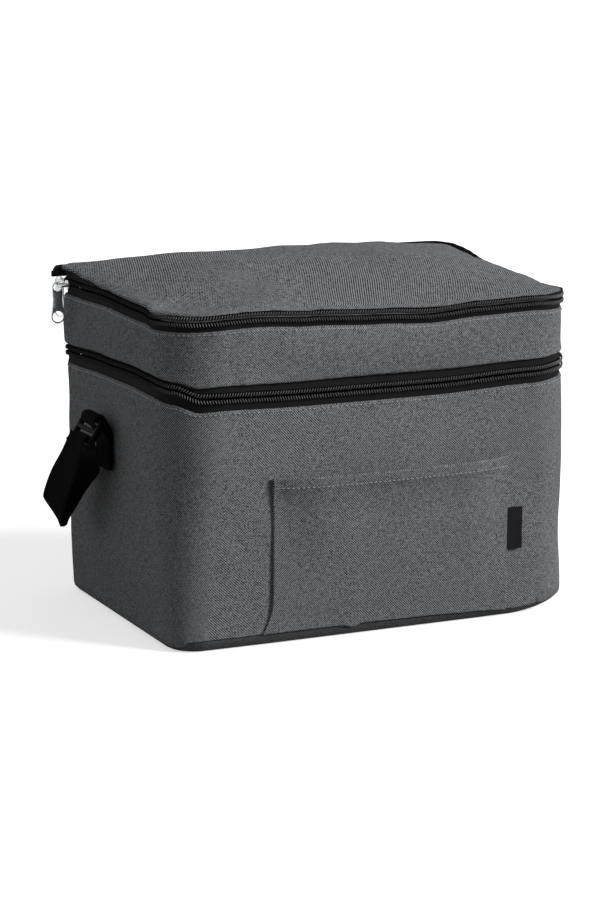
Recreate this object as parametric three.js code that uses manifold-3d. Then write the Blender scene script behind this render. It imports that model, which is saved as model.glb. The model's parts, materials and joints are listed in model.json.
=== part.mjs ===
// Two-compartment soft cooler bag, millimetres, +Z up, front towards -Y.
// The origin is the middle of the base, on the surface that the bag stands on.
import * as THREE from "three";
import { mergeVertices } from "three/addons/utils/BufferGeometryUtils.js";
import Module from "manifold-3d";

const wasm = await Module();
wasm.setup();

// Overall form
const WIDTH = 280;
const DEPTH = 190;
const LOW_ZIP = 160;
const TOP_ZIP = 204.5;
const LID_CROWN = 12.5;
const LID_BACK_RISE = 6.5;
const LID_RISE_RUN = 80;
const FRONT_RADIUS_BASE = 22;
const FRONT_RADIUS_ZIP = 36;
const BACK_RADIUS = 14;

// Layers of a wall, counted inwards from the fabric's outer face
const GAP = 0.3;
const FABRIC = 1.0;
const FOAM = 5.0;
const LINING = 0.8;
const BOARD = 6.0;
const BOARD_GAP_ANGLE = 1.2;
const LID_FOAM = 4.5;
const LID_GAP = 0.8;
const BASE_ROLL = 7.0;
const BASE_RIM = 9.0;

// How far the fabric swells between its corners
const FRONT_SWELL = 4.0;
const SIDE_SWELL = 2.0;
const BACK_SWELL = 1.0;
const UPPER_SWELL = 1.2;

// Zips
const TAPE = 0.6;
const TAPE_WIDTH = 8.0;
const COIL_HALF = 2.6;
const COIL_DEPTH = 2.2;
const MESH_HALF_GAP = 0.7;
const ZIP_END_ANGLE = 85;
const LID_CHAIN_END_ANGLE = 25;
const SEAM_ANGLE = 1.5;
const FABRIC_TO_MESH_LOW = 7.5;
const FABRIC_TO_MESH_TOP = 6.2;
const FABRIC_ABOVE_LOW = 8.1;
const LID_EDGE_ABOVE_MESH = 3.6;
const LID_EDGE_UPRIGHT = 1.8;

// Zip slider and pull
const SLIDER_LENGTH = 10.0;
const SLIDER_HEIGHT = 8.0;
const SLIDER_PLATE = 1.0;
const SLIDER_CORNER = 2.2;
const SLIDER_PLAY = 0.35;
const OPENING_PLAY = 1.5;
const POST_LENGTH = 4.0;
const POST_WIDTH = 0.8;
const BAIL_LENGTH = 8.4;
const BAIL_WIDTH = 2.0;
const BAIL_BAR = 1.4;
const BAIL_AXIS = 8.8;
const PULL_LENGTH = 27.0;
const PULL_TOP_RADIUS = 3.6;
const PULL_EYE_RADIUS = 2.6;
const PULL_FOOT_RADIUS = 4.3;
const PULL_HOLE_RADIUS = 3.4;
const PULL_THICKNESS = 1.0;
const PULL_DROP = 1.05;
const CORNER_SLIDER_ANGLE = 56;

// Front pocket and its label
const POCKET_WIDTH = 166;
const POCKET_CENTRE = 5;
const POCKET_TOP = 105;
const POCKET_BOTTOM = 12;
const POCKET_STANDS_OUT = 7.5;
const POCKET_CLOTH = 1.2;
const LABEL_WIDTH = 11;
const LABEL_HEIGHT = 29;
const LABEL_LOW = 42;
const LABEL_THICKNESS = 0.8;

// Side fittings
const WEBBING = 25;
const WEBBING_THICKNESS = 1.3;
const TAB_CENTRE_Y = 8;
const TAB_LOW = 98;
const TAB_BEND = 124;
const TAB_RETURN = 5;
const TAB_REJOINS = 8;
const BUCKLE_OUT = 10.5;
const BUCKLE_Z = 129.5;
const BUCKLE_LEAN = 32;
const BUCKLE_WIDTH = 34;
const BUCKLE_SIDE = 3.6;
const BUCKLE_BAR = 3.2;
const BUCKLE_PITCH = 7.4;
const BUCKLE_THICKNESS = 3.6;
const BUCKLE_CORNER = 2.4;
const LOOP_CLEARANCE = 0.7;
const LOOP_FALL = 53;
const LOOP_BACK = 38;
const LOOP_BULGE = 8;
const LOOP_FOLD = 2.5;
const LOOP_TWIST = 38;

// Facets
const CORNER_STEPS = 6;
const LONG_STEPS = 6;
const SHORT_STEPS = 4;

const HALF_W = WIDTH / 2;
const HALF_D = DEPTH / 2;
const WALL_FOAM = -(FABRIC + GAP);
const WALL_LINING = WALL_FOAM - FOAM - GAP;
const TAPE_FACE = -(FABRIC + GAP);
const TAPE_BACK = TAPE_FACE - TAPE;
const COIL_BACK = TAPE_FACE + GAP;
const COIL_FACE = COIL_BACK + COIL_DEPTH;
const COIL_END = MESH_HALF_GAP + COIL_HALF;
const TAPE_END = MESH_HALF_GAP + TAPE_WIDTH;
const TAPE_RADIUS = BACK_RADIUS + TAPE_BACK;
const CORNER_SAG = TAPE_RADIUS - Math.sqrt(TAPE_RADIUS ** 2 - (SLIDER_LENGTH / 2) ** 2);
const SIDE_SLIDER_Y = HALF_D - BACK_RADIUS - SLIDER_LENGTH / 2;
const SLIDER_BACK = TAPE_BACK - SLIDER_PLAY;
const SLIDER_FACE = COIL_FACE + SLIDER_PLAY + SLIDER_PLATE;
const INNER_EDGE = SLIDER_BACK - CORNER_SAG - SLIDER_PLATE - OPENING_PLAY;
const BAR_REACH = Math.hypot(BUCKLE_BAR, BUCKLE_THICKNESS) / 2;
const RAD = Math.PI / 180;
const QUARTER = 90;

// Colours and surfaces
const finish = (color, roughness, metalness = 0) =>
  new THREE.MeshStandardMaterial({ color, roughness, metalness });
const MATERIALS = {
  cloth: finish(0x626466, 0.95),
  base: finish(0x47484a, 0.95),
  foam: finish(0xe9e9e4, 0.9),
  foil: finish(0xc4c7ca, 0.35, 0.6),
  tape: finish(0x17181a, 0.9),
  coil: finish(0x1e1f21, 0.4),
  webbing: finish(0x0e0e10, 0.85),
  plastic: finish(0x141416, 0.3),
  nickel: finish(0xb9babc, 0.25, 1),
  label: finish(0x101012, 0.8),
};

// Solid building blocks

function geometryOf(positions, triangles) {
  const geometry = new THREE.BufferGeometry();
  geometry.setAttribute("position", new THREE.Float32BufferAttribute(positions.flat(), 3));
  geometry.setIndex(triangles.flat());
  return pointedOut(geometry);
}

// Turns every face over when the body's signed volume says that it is inside out.
function pointedOut(geometry) {
  const position = geometry.getAttribute("position");
  const index = geometry.getIndex();
  const [a, b, c] = [new THREE.Vector3(), new THREE.Vector3(), new THREE.Vector3()];
  let volume = 0;
  for (let i = 0; i < index.count; i += 3) {
    a.fromBufferAttribute(position, index.getX(i));
    b.fromBufferAttribute(position, index.getX(i + 1));
    c.fromBufferAttribute(position, index.getX(i + 2));
    volume += a.dot(b.cross(c));
  }
  if (volume < 0) {
    for (let i = 0; i < index.count; i += 3) {
      const second = index.getX(i + 1);
      index.setX(i + 1, index.getX(i + 2));
      index.setX(i + 2, second);
    }
  }
  return geometry;
}

function asManifold(geometry) {
  const bare = geometry.clone();
  bare.deleteAttribute("normal");
  bare.deleteAttribute("uv");
  const merged = mergeVertices(bare, 1e-4);
  return new wasm.Manifold(new wasm.Mesh({
    numProp: 3,
    vertProperties: new Float32Array(merged.getAttribute("position").array),
    triVerts: new Uint32Array(merged.getIndex().array),
  }));
}

function joined(...geometries) {
  let whole = asManifold(geometries[0]);
  for (const next of geometries.slice(1)) {
    whole = whole.add(asManifold(next));
  }
  const mesh = whole.getMesh();
  const geometry = new THREE.BufferGeometry();
  const positions = new Float32Array(mesh.vertProperties);
  geometry.setAttribute("position", new THREE.BufferAttribute(positions, 3));
  geometry.setIndex(new THREE.BufferAttribute(new Uint32Array(mesh.triVerts), 1));
  return geometry;
}

// Stations go round the bag's plan, anticlockwise seen from above. Each gives a point
// of the outline at a height and an offset outwards from the fabric's outer face.

function frontRadius(z) {
  return THREE.MathUtils.lerp(FRONT_RADIUS_BASE, FRONT_RADIUS_ZIP, Math.min(1, z / LOW_ZIP));
}

function cornerStation(side, end, angle) {
  const place = (z, offset) => {
    const nominal = end < 0 ? frontRadius(z) : BACK_RADIUS;
    const radius = Math.max(nominal + offset, 2);
    const x = side * (HALF_W + offset - radius) + radius * Math.cos(angle * RAD);
    const y = end * (HALF_D + offset - radius) + radius * Math.sin(angle * RAD);
    return [x, y];
  };
  return { angle, place };
}

// Every layer shares the same angles round a corner, so that their facets stay parallel.
function cornerStations(side, end, start, from = 0, to = QUARTER) {
  const angles = [from];
  for (let i = 0; i <= CORNER_STEPS; i++) {
    const angle = (QUARTER * i) / CORNER_STEPS;
    if (angle > from && angle < to) {
      angles.push(angle);
    }
  }
  angles.push(to);
  return angles.map((angle) => cornerStation(side, end, start + angle));
}

// Points along a straight side, swelling outwards between its two corners.
function sideStations(first, last, normal, steps, swell) {
  const stations = [];
  for (let i = 1; i < steps; i++) {
    const share = i / steps;
    const place = (z, offset, fullness = 0) => {
      const a = first.place(z, offset);
      const b = last.place(z, offset);
      const out = fullness * swell * Math.sin(Math.PI * share);
      return [
        THREE.MathUtils.lerp(a[0], b[0], share) + normal[0] * out,
        THREE.MathUtils.lerp(a[1], b[1], share) + normal[1] * out,
      ];
    };
    stations.push({ place });
  }
  return stations;
}

const BACK_LEFT = cornerStations(-1, 1, 90);
const FRONT_LEFT = cornerStations(-1, -1, 180);
const FRONT_RIGHT = cornerStations(1, -1, 270);
const BACK_RIGHT = cornerStations(1, 1, 0);
const LEFT_RUN = sideStations(BACK_LEFT.at(-1), FRONT_LEFT[0], [-1, 0], SHORT_STEPS, SIDE_SWELL);
const FRONT_RUN = sideStations(FRONT_LEFT.at(-1), FRONT_RIGHT[0], [0, -1], LONG_STEPS, FRONT_SWELL);
const RIGHT_RUN = sideStations(FRONT_RIGHT.at(-1), BACK_RIGHT[0], [1, 0], SHORT_STEPS, SIDE_SWELL);
const BACK_RUN = sideStations(BACK_RIGHT.at(-1), BACK_LEFT[0], [0, 1], LONG_STEPS, BACK_SWELL);
const ROUND = [
  ...BACK_LEFT, ...LEFT_RUN, ...FRONT_LEFT, ...FRONT_RUN,
  ...FRONT_RIGHT, ...RIGHT_RUN, ...BACK_RIGHT, ...BACK_RUN,
];

// The run from one back corner round the front to the other. reach is how far it
// goes round each back corner, in degrees from the side.
function sidesAndFront(reach) {
  return [
    ...cornerStations(-1, 1, 90, QUARTER - reach), ...LEFT_RUN, ...FRONT_LEFT, ...FRONT_RUN,
    ...FRONT_RIGHT, ...RIGHT_RUN, ...cornerStations(1, 1, 0, 0, reach),
  ];
}

function backRun(reach) {
  return [
    ...cornerStations(1, 1, 0, QUARTER - reach), ...BACK_RUN,
    ...cornerStations(-1, 1, 90, 0, reach),
  ];
}

// A wall that follows the stations. Each level has a height and the offsets of its
// outer and inner face. It is a ring when closed, and has two ends otherwise.
function wall(stations, levels, closed = false) {
  const positions = [];
  for (const station of stations) {
    for (const face of ["out", "inn"]) {
      for (const level of levels) {
        const [x, y] = station.place(level.z, level[face], level.full ?? 0);
        positions.push([x, y, level.z]);
      }
    }
  }
  const count = levels.length;
  const at = (station, face, level) => (station % stations.length) * 2 * count + face * count + level;
  const quads = [];
  const spans = closed ? stations.length : stations.length - 1;
  for (let s = 0; s < spans; s++) {
    for (let k = 0; k < count - 1; k++) {
      quads.push([at(s, 0, k), at(s + 1, 0, k), at(s + 1, 0, k + 1), at(s, 0, k + 1)]);
      quads.push([at(s + 1, 1, k), at(s, 1, k), at(s, 1, k + 1), at(s + 1, 1, k + 1)]);
    }
    quads.push([at(s, 1, 0), at(s + 1, 1, 0), at(s + 1, 0, 0), at(s, 0, 0)]);
    quads.push([at(s, 0, count - 1), at(s + 1, 0, count - 1), at(s + 1, 1, count - 1), at(s, 1, count - 1)]);
  }
  if (!closed) {
    const last = stations.length - 1;
    for (let k = 0; k < count - 1; k++) {
      quads.push([at(0, 1, k), at(0, 0, k), at(0, 0, k + 1), at(0, 1, k + 1)]);
      quads.push([at(last, 0, k), at(last, 1, k), at(last, 1, k + 1), at(last, 0, k + 1)]);
    }
  }
  return geometryOf(positions, quads.flatMap(([a, b, c, d]) => [[a, b, c], [a, c, d]]));
}

function strip(stations, low, high, out, inn) {
  return wall(stations, [{ z: low, out, inn }, { z: high, out, inn }]);
}

// A body of stacked outlines, closed by a fan at both ends. Each ring is [z, offset],
// and rise may lift the points of those above the height from, by how far back they lie.
function stack(rings, rise = () => 0, from = 0) {
  const positions = [];
  const lift = (y, z) => (z > from ? rise(y) : 0);
  for (const [z, offset] of rings) {
    for (const station of ROUND) {
      const [x, y] = station.place(z, offset);
      positions.push([x, y, z + lift(y, z)]);
    }
  }
  const n = ROUND.length;
  const triangles = [];
  for (let r = 0; r < rings.length - 1; r++) {
    for (let i = 0; i < n; i++) {
      const j = (i + 1) % n;
      triangles.push([r * n + i, r * n + j, (r + 1) * n + j]);
      triangles.push([r * n + i, (r + 1) * n + j, (r + 1) * n + i]);
    }
  }
  const ends = [0, rings.length - 1].map((ring) => {
    positions.push([0, 0, rings[ring][0] + lift(0, rings[ring][0])]);
    return [ring * n, positions.length - 1];
  });
  ends.forEach(([start, hub], end) => {
    for (let i = 0; i < n; i++) {
      const j = (i + 1) % n;
      triangles.push(end === 0 ? [hub, start + j, start + i] : [hub, start + i, start + j]);
    }
  });
  return geometryOf(positions, triangles);
}

function slab(low, high, offset) {
  return stack([[low, offset], [high, offset]]);
}

// A flat strap swept along points, with its width direction given at each point.
function strap(points, across, closed = false) {
  const positions = [];
  const count = points.length;
  points.forEach((point, i) => {
    const before = points[closed ? (i + count - 1) % count : Math.max(0, i - 1)];
    const after = points[closed ? (i + 1) % count : Math.min(count - 1, i + 1)];
    const along = after.clone().sub(before).normalize();
    const wide = across[i].clone().addScaledVector(along, -across[i].dot(along)).normalize();
    const up = along.clone().cross(wide).multiplyScalar(WEBBING_THICKNESS / 2);
    wide.multiplyScalar(WEBBING / 2);
    for (const [w, u] of [[-1, -1], [1, -1], [1, 1], [-1, 1]]) {
      positions.push(point.clone().addScaledVector(wide, w).addScaledVector(up, u).toArray());
    }
  });
  const triangles = [];
  for (let i = 0; i < (closed ? count : count - 1); i++) {
    const next = 4 * ((i + 1) % count);
    for (let k = 0; k < 4; k++) {
      const turn = (k + 1) % 4;
      triangles.push([4 * i + k, 4 * i + turn, next + turn], [4 * i + k, next + turn, next + k]);
    }
  }
  if (!closed) {
    const end = 4 * (count - 1);
    triangles.push([0, 2, 1], [0, 3, 2], [end, end + 1, end + 2], [end, end + 2, end + 3]);
  }
  return geometryOf(positions, triangles);
}

function extruded(shape, depth, curveSegments = 8) {
  const geometry = new THREE.ExtrudeGeometry(shape, { depth, bevelEnabled: false, curveSegments });
  return geometry.translate(0, 0, -depth / 2);
}

function block(x0, x1, y0, y1, z0, z1) {
  const geometry = new THREE.BoxGeometry(x1 - x0, y1 - y0, z1 - z0);
  return geometry.translate((x0 + x1) / 2, (y0 + y1) / 2, (z0 + z1) / 2);
}

function roundedRectangle(width, height, radius) {
  const [x, y] = [width / 2, height / 2];
  const shape = new THREE.Shape();
  shape.moveTo(-x + radius, -y);
  shape.lineTo(x - radius, -y);
  shape.absarc(x - radius, -y + radius, radius, -Math.PI / 2, 0);
  shape.lineTo(x, y - radius);
  shape.absarc(x - radius, y - radius, radius, 0, Math.PI / 2);
  shape.lineTo(-x + radius, y);
  shape.absarc(-x + radius, y - radius, radius, Math.PI / 2, Math.PI);
  shape.lineTo(-x, -y + radius);
  shape.absarc(-x + radius, -y + radius, radius, Math.PI, 1.5 * Math.PI);
  return shape;
}

const bag = new THREE.Group();

function add(name, geometry, material, place = bag) {
  const mesh = new THREE.Mesh(geometry, MATERIALS[material]);
  mesh.name = name;
  place.add(mesh);
  return mesh;
}

// Walls of one compartment: fabric round the front and sides, a back panel, four foam
// boards and the tub of lining. low and high are the fabric's edges.

function clothLevels(low, high, swellShare) {
  const levels = [];
  for (let i = 0; i <= 4; i++) {
    const share = i / 4;
    const full = swellShare * Math.sin(Math.PI * share);
    levels.push({ z: THREE.MathUtils.lerp(low, high, share), out: 0, inn: -FABRIC, full });
  }
  return levels;
}

function addCloth(prefix, low, high, swellShare) {
  const seam = ZIP_END_ANGLE;
  const levels = clothLevels(low, high, swellShare);
  add(`${prefix}_front_and_sides`, wall(sidesAndFront(seam), levels), "cloth");
  add(`${prefix}_back_panel`, wall(backRun(QUARTER - seam - SEAM_ANGLE), levels), "cloth");
}

function addFoamBoards(prefix, low, high) {
  const near = QUARTER / 2 - BOARD_GAP_ANGLE;
  const far = QUARTER / 2 + BOARD_GAP_ANGLE;
  const boards = {
    front: [...cornerStations(-1, -1, 180, far), ...FRONT_RUN, ...cornerStations(1, -1, 270, 0, near)],
    right: [...cornerStations(1, -1, 270, far), ...RIGHT_RUN, ...cornerStations(1, 1, 0, 0, near)],
    back: [...cornerStations(1, 1, 0, far), ...BACK_RUN, ...cornerStations(-1, 1, 90, 0, near)],
    left: [...cornerStations(-1, 1, 90, far), ...LEFT_RUN, ...cornerStations(-1, -1, 180, 0, near)],
  };
  for (const [side, stations] of Object.entries(boards)) {
    add(`${prefix}_foam_${side}`, strip(stations, low, high, WALL_FOAM, WALL_FOAM - FOAM), "foam");
  }
}

// The lining is a tub whose rim turns outwards over the foam to meet the zip tape.
function liningTub(floor, rim) {
  const reach = TAPE_BACK - GAP;
  return stack([
    [floor, WALL_LINING],
    [rim - LINING, WALL_LINING],
    [rim - LINING, reach],
    [rim, reach],
    [rim, WALL_LINING - LINING],
    [floor + LINING, WALL_LINING - LINING],
  ]);
}

// Half of a zip: side is -1 below the mesh line and 1 above it.
function addHalfZip(name, mesh, side, reach, tapeEnd = TAPE_END) {
  const stations = sidesAndFront(reach);
  const span = (from, to) => [mesh + side * from, mesh + side * to].sort((a, b) => a - b);
  const [tapeLow, tapeHigh] = span(MESH_HALF_GAP, tapeEnd);
  add(`${name}_tape`, strip(stations, tapeLow, tapeHigh, TAPE_FACE, TAPE_BACK), "tape");
  const [low, high] = span(MESH_HALF_GAP, COIL_END);
  const bevel = COIL_DEPTH / 3;
  add(`${name}_coil`, wall(stations, [
    { z: low, out: COIL_FACE - bevel, inn: COIL_BACK },
    { z: low + bevel, out: COIL_FACE, inn: COIL_BACK },
    { z: high - bevel, out: COIL_FACE, inn: COIL_BACK },
    { z: high, out: COIL_FACE - bevel, inn: COIL_BACK },
  ]), "coil");
}

// The cloth hinge lies behind the fabric across the back. Above the mesh line it goes
// on round both back corners, up to the end of the upper half of the zip.
function hingeCloth(mesh) {
  const round = backRun(QUARTER - LID_CHAIN_END_ANGLE - SEAM_ANGLE);
  const band = strip(round, mesh + MESH_HALF_GAP, mesh + TAPE_END, TAPE_FACE, TAPE_BACK);
  const across = strip(backRun(3), mesh - TAPE_END, mesh + TAPE_END, TAPE_FACE, TAPE_BACK);
  return joined(band, across);
}

// Main compartment

function baseTray() {
  const turn = (share, inset, lift) => {
    const angle = share * (Math.PI / 2);
    const radius = BASE_ROLL - inset;
    return [lift + radius * (1 - Math.cos(angle)), -BASE_ROLL + radius * Math.sin(angle)];
  };
  const outside = [0, 1 / 3, 2 / 3, 1].map((share) => turn(share, 0, 0));
  const inside = [1, 2 / 3, 1 / 3, 0].map((share) => turn(share, FABRIC, FABRIC));
  return stack([...outside, [BASE_RIM, 0], [BASE_RIM, -FABRIC], ...inside]);
}

function addMainCompartment() {
  const foamFloor = FABRIC + GAP;
  const wallFloor = foamFloor + BOARD + GAP;
  const clothTop = LOW_ZIP - FABRIC_TO_MESH_LOW;
  const rim = LOW_ZIP - TAPE_END - GAP;
  add("base_panel", baseTray(), "base");
  add("base_foam", slab(foamFloor, foamFloor + BOARD, -BASE_ROLL - FABRIC), "foam");
  addCloth("main", BASE_RIM + GAP, clothTop, 1);
  addFoamBoards("main", wallFloor, rim - LINING - GAP);
  add("main_lining", liningTub(wallFloor, rim), "foil");
  addHalfZip("low_zip_lower", LOW_ZIP, -1, ZIP_END_ANGLE);
}

// The pocket is one panel sewn down at both sides and along its foot, and it stands
// out from the front between them. Its back face follows the swelling of the front.
function frontSwellAt(x, z) {
  const run = HALF_W - frontRadius(z);
  const low = BASE_RIM + GAP;
  const high = LOW_ZIP - FABRIC_TO_MESH_LOW;
  const along = Math.max(0, Math.cos((Math.PI / 2) * Math.min(1, Math.abs(x) / run)));
  return FRONT_SWELL * along * Math.sin(Math.PI * ((z - low) / (high - low)));
}

function addPocket() {
  const columns = 10;
  const rows = 5;
  const positions = [];
  for (const face of [1, 0]) {
    for (let r = 0; r <= rows; r++) {
      for (let c = 0; c <= columns; c++) {
        const across = c / columns;
        const up = r / rows;
        const x = POCKET_CENTRE + (across - 0.5) * POCKET_WIDTH;
        const z = THREE.MathUtils.lerp(POCKET_BOTTOM, POCKET_TOP, up);
        const open = Math.min(1, 5 * Math.min(across, 1 - across)) * Math.min(1, 3 * up);
        const out = GAP + frontSwellAt(x, z) + POCKET_STANDS_OUT * open + face * POCKET_CLOTH;
        positions.push([x, -HALF_D - out, z]);
      }
    }
  }
  const stride = columns + 1;
  const sheet = stride * (rows + 1);
  const at = (face, r, c) => (face ? 0 : sheet) + r * stride + c;
  const quads = [];
  for (let r = 0; r < rows; r++) {
    for (let c = 0; c < columns; c++) {
      quads.push([at(1, r, c), at(1, r, c + 1), at(1, r + 1, c + 1), at(1, r + 1, c)]);
      quads.push([at(0, r, c + 1), at(0, r, c), at(0, r + 1, c), at(0, r + 1, c + 1)]);
    }
    quads.push([at(0, r, 0), at(1, r, 0), at(1, r + 1, 0), at(0, r + 1, 0)]);
    quads.push([at(1, r, columns), at(0, r, columns), at(0, r + 1, columns), at(1, r + 1, columns)]);
  }
  for (let c = 0; c < columns; c++) {
    quads.push([at(0, 0, c), at(0, 0, c + 1), at(1, 0, c + 1), at(1, 0, c)]);
    quads.push([at(1, rows, c), at(1, rows, c + 1), at(0, rows, c + 1), at(0, rows, c)]);
  }
  const triangles = quads.flatMap(([a, b, c, d]) => [[a, b, c], [a, c, d]]);
  add("front_pocket", geometryOf(positions, triangles), "cloth");

  const seam = POCKET_CENTRE + POCKET_WIDTH / 2 + GAP;
  const swell = frontSwellAt(seam, LABEL_LOW + LABEL_HEIGHT / 2);
  const back = -HALF_D - swell - 2 * GAP;
  add("pocket_label", block(
    seam, seam + LABEL_WIDTH, back - LABEL_THICKNESS, back, LABEL_LOW, LABEL_LOW + LABEL_HEIGHT), "label");
}

// Upper compartment, which is also the main compartment's cover

function addUpperCompartment() {
  const panelLow = LOW_ZIP + MESH_HALF_GAP + GAP;
  const foamLow = panelLow + FABRIC + GAP;
  const liningLow = foamLow + FOAM + GAP;
  const wallFloor = LOW_ZIP + TAPE_END + GAP;
  const rim = TOP_ZIP - TAPE_END - GAP;
  add("divider_panel", slab(panelLow, panelLow + FABRIC, INNER_EDGE), "cloth");
  add("divider_foam", slab(foamLow, foamLow + FOAM, INNER_EDGE), "foam");
  addCloth("upper", LOW_ZIP + FABRIC_ABOVE_LOW, TOP_ZIP - FABRIC_TO_MESH_TOP, UPPER_SWELL / SIDE_SWELL);
  addFoamBoards("upper", wallFloor, rim - LINING - GAP);
  add("upper_lining", liningTub(liningLow, rim), "foil");
  addHalfZip("low_zip_upper", LOW_ZIP, 1, LID_CHAIN_END_ANGLE);
  addHalfZip("top_zip_lower", TOP_ZIP, -1, ZIP_END_ANGLE);
  add("compartment_hinge", hingeCloth(LOW_ZIP), "tape");
}

// Lid: a crowned fabric cover over a foam pad and its lining. It rises towards the back.

const CROWN_REACH = 0.95 * HALF_D;

function crownHeight(inset) {
  const share = Math.min(1, Math.max(0, inset) / CROWN_REACH);
  return LID_CROWN * (1 - (1 - share) ** 1.6);
}

function lidRise(y) {
  return LID_BACK_RISE * THREE.MathUtils.smoothstep(y, 0, LID_RISE_RUN);
}

// Rings of one crowned face, from its edge to its middle, closer where it is steeper.
function crownRings(edge, start, count) {
  const rings = [];
  for (let i = 0; i <= count; i++) {
    const offset = start - (CROWN_REACH + start) * (i / count) ** 1.3;
    rings.push([edge + crownHeight(-offset), offset]);
  }
  return rings;
}

function crownedSheet(edge, offset, thickness) {
  const rings = 4;
  const under = crownRings(edge, offset, rings).reverse();
  return stack([...under, ...crownRings(edge + thickness, offset, rings)], lidRise);
}

// The lid's layers keep wider gaps, because their facets don't lie parallel.
function addLid() {
  const edge = TOP_ZIP + LID_EDGE_ABOVE_MESH;
  const shoulder = edge + LID_EDGE_UPRIGHT;
  const crownBase = shoulder + FABRIC / 2;
  const rings = 6;
  add("lid_panel", stack([
    ...crownRings(crownBase - FABRIC, -FABRIC, rings).reverse(),
    [edge, -FABRIC],
    [edge, 0],
    [shoulder, 0],
    ...crownRings(crownBase, -FABRIC / 2, rings),
  ], lidRise, edge), "cloth");
  const foamTop = crownBase - FABRIC - LID_GAP;
  const liningTop = foamTop - LID_FOAM - LID_GAP;
  add("lid_foam", crownedSheet(foamTop - LID_FOAM, INNER_EDGE, LID_FOAM), "foam");
  add("lid_lining", crownedSheet(liningTop - LINING, INNER_EDGE, LINING), "foil");
  const tapeEnd = LID_EDGE_ABOVE_MESH + LID_EDGE_UPRIGHT - FABRIC / 2 - GAP;
  addHalfZip("top_zip_upper", TOP_ZIP, 1, LID_CHAIN_END_ANGLE, tapeEnd);
  add("lid_hinge", hingeCloth(TOP_ZIP), "tape");
}

// Zip slider, in its own frame: x along the zip, y up, z outwards from the fabric.
// Two plates hold the coils between them, and a post joins the plates at the mesh.
// On a corner the back plate sits deeper, clear of the tape that curves away behind it.
function sliderBody(deeper) {
  const outline = roundedRectangle(SLIDER_LENGTH, SLIDER_HEIGHT, SLIDER_CORNER);
  const behind = SLIDER_BACK - deeper - SLIDER_PLATE / 2;
  const face = extruded(outline, SLIDER_PLATE, 3).translate(0, 0, SLIDER_FACE - SLIDER_PLATE / 2);
  const back = extruded(outline, SLIDER_PLATE, 3).translate(0, 0, behind);
  const post = block(
    -POST_LENGTH / 2, POST_LENGTH / 2, -POST_WIDTH / 2, POST_WIDTH / 2,
    behind, SLIDER_FACE - SLIDER_PLATE / 2);
  const half = BAIL_LENGTH / 2;
  const low = SLIDER_FACE - SLIDER_PLATE / 2;
  const top = BAIL_AXIS + BAIL_BAR / 2;
  const arch = new THREE.Shape();
  arch.moveTo(-half, low);
  arch.lineTo(-half, top - 2);
  arch.quadraticCurveTo(-half, top, -half + 2, top);
  arch.lineTo(half - 2, top);
  arch.quadraticCurveTo(half, top, half, top - 2);
  arch.lineTo(half, low);
  arch.lineTo(half - BAIL_BAR, low);
  arch.lineTo(half - BAIL_BAR, top - BAIL_BAR - 0.6);
  arch.lineTo(half - BAIL_BAR - 0.6, top - BAIL_BAR);
  arch.lineTo(-half + BAIL_BAR + 0.6, top - BAIL_BAR);
  arch.lineTo(-half + BAIL_BAR, top - BAIL_BAR - 0.6);
  arch.lineTo(-half + BAIL_BAR, low);
  const bail = extruded(arch, BAIL_WIDTH, 3).rotateX(Math.PI / 2);
  return joined(back, post, face, bail);
}

// The pull hangs across the zip with its eye round the bail's bar.
function pullTab() {
  const fall = PULL_LENGTH - PULL_TOP_RADIUS - PULL_FOOT_RADIUS;
  const shape = new THREE.Shape();
  shape.absarc(0, 0, PULL_TOP_RADIUS, 0, Math.PI);
  shape.lineTo(-PULL_FOOT_RADIUS, -fall);
  shape.absarc(0, -fall, PULL_FOOT_RADIUS, Math.PI, 2 * Math.PI);
  for (const [y, radius] of [[0, PULL_EYE_RADIUS], [-fall, PULL_HOLE_RADIUS]]) {
    const hole = new THREE.Path();
    hole.absarc(0, y, radius, 0, 2 * Math.PI, true);
    shape.holes.push(hole);
  }
  const tab = extruded(shape, PULL_THICKNESS, 7);
  return tab.rotateY(Math.PI / 2).translate(0, -PULL_DROP, BAIL_AXIS);
}

// Puts a slider and its pull on the outline at a point with an outward direction.
function addSlider(name, point, outward, mesh, deeper = 0) {
  const group = new THREE.Group();
  const up = new THREE.Vector3(0, 0, 1);
  const out = new THREE.Vector3(outward[0], outward[1], 0);
  const along = up.clone().cross(out);
  const turn = new THREE.Matrix4().makeBasis(along, up, out);
  group.setRotationFromMatrix(turn);
  group.position.set(point[0], point[1], mesh);
  bag.add(group);
  add(name, sliderBody(deeper), "nickel", group);
  add(`${name}_pull`, pullTab(), "nickel", group);
}

function addSliders() {
  const angle = CORNER_SLIDER_ANGLE * RAD;
  const corner = [
    HALF_W - BACK_RADIUS + BACK_RADIUS * Math.cos(angle),
    HALF_D - BACK_RADIUS + BACK_RADIUS * Math.sin(angle),
  ];
  addSlider("top_slider_side", [-HALF_W, SIDE_SLIDER_Y], [-1, 0], TOP_ZIP);
  addSlider(
    "top_slider_corner", [-corner[0], corner[1]], [-Math.cos(angle), Math.sin(angle)], TOP_ZIP, CORNER_SAG);
  addSlider("low_slider_side", [HALF_W, SIDE_SLIDER_Y], [1, 0], LOW_ZIP);
  addSlider("low_slider_corner", corner, [Math.cos(angle), Math.sin(angle)], LOW_ZIP, CORNER_SAG);
}

// Side fittings, made for the right side and mirrored for the left

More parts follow.
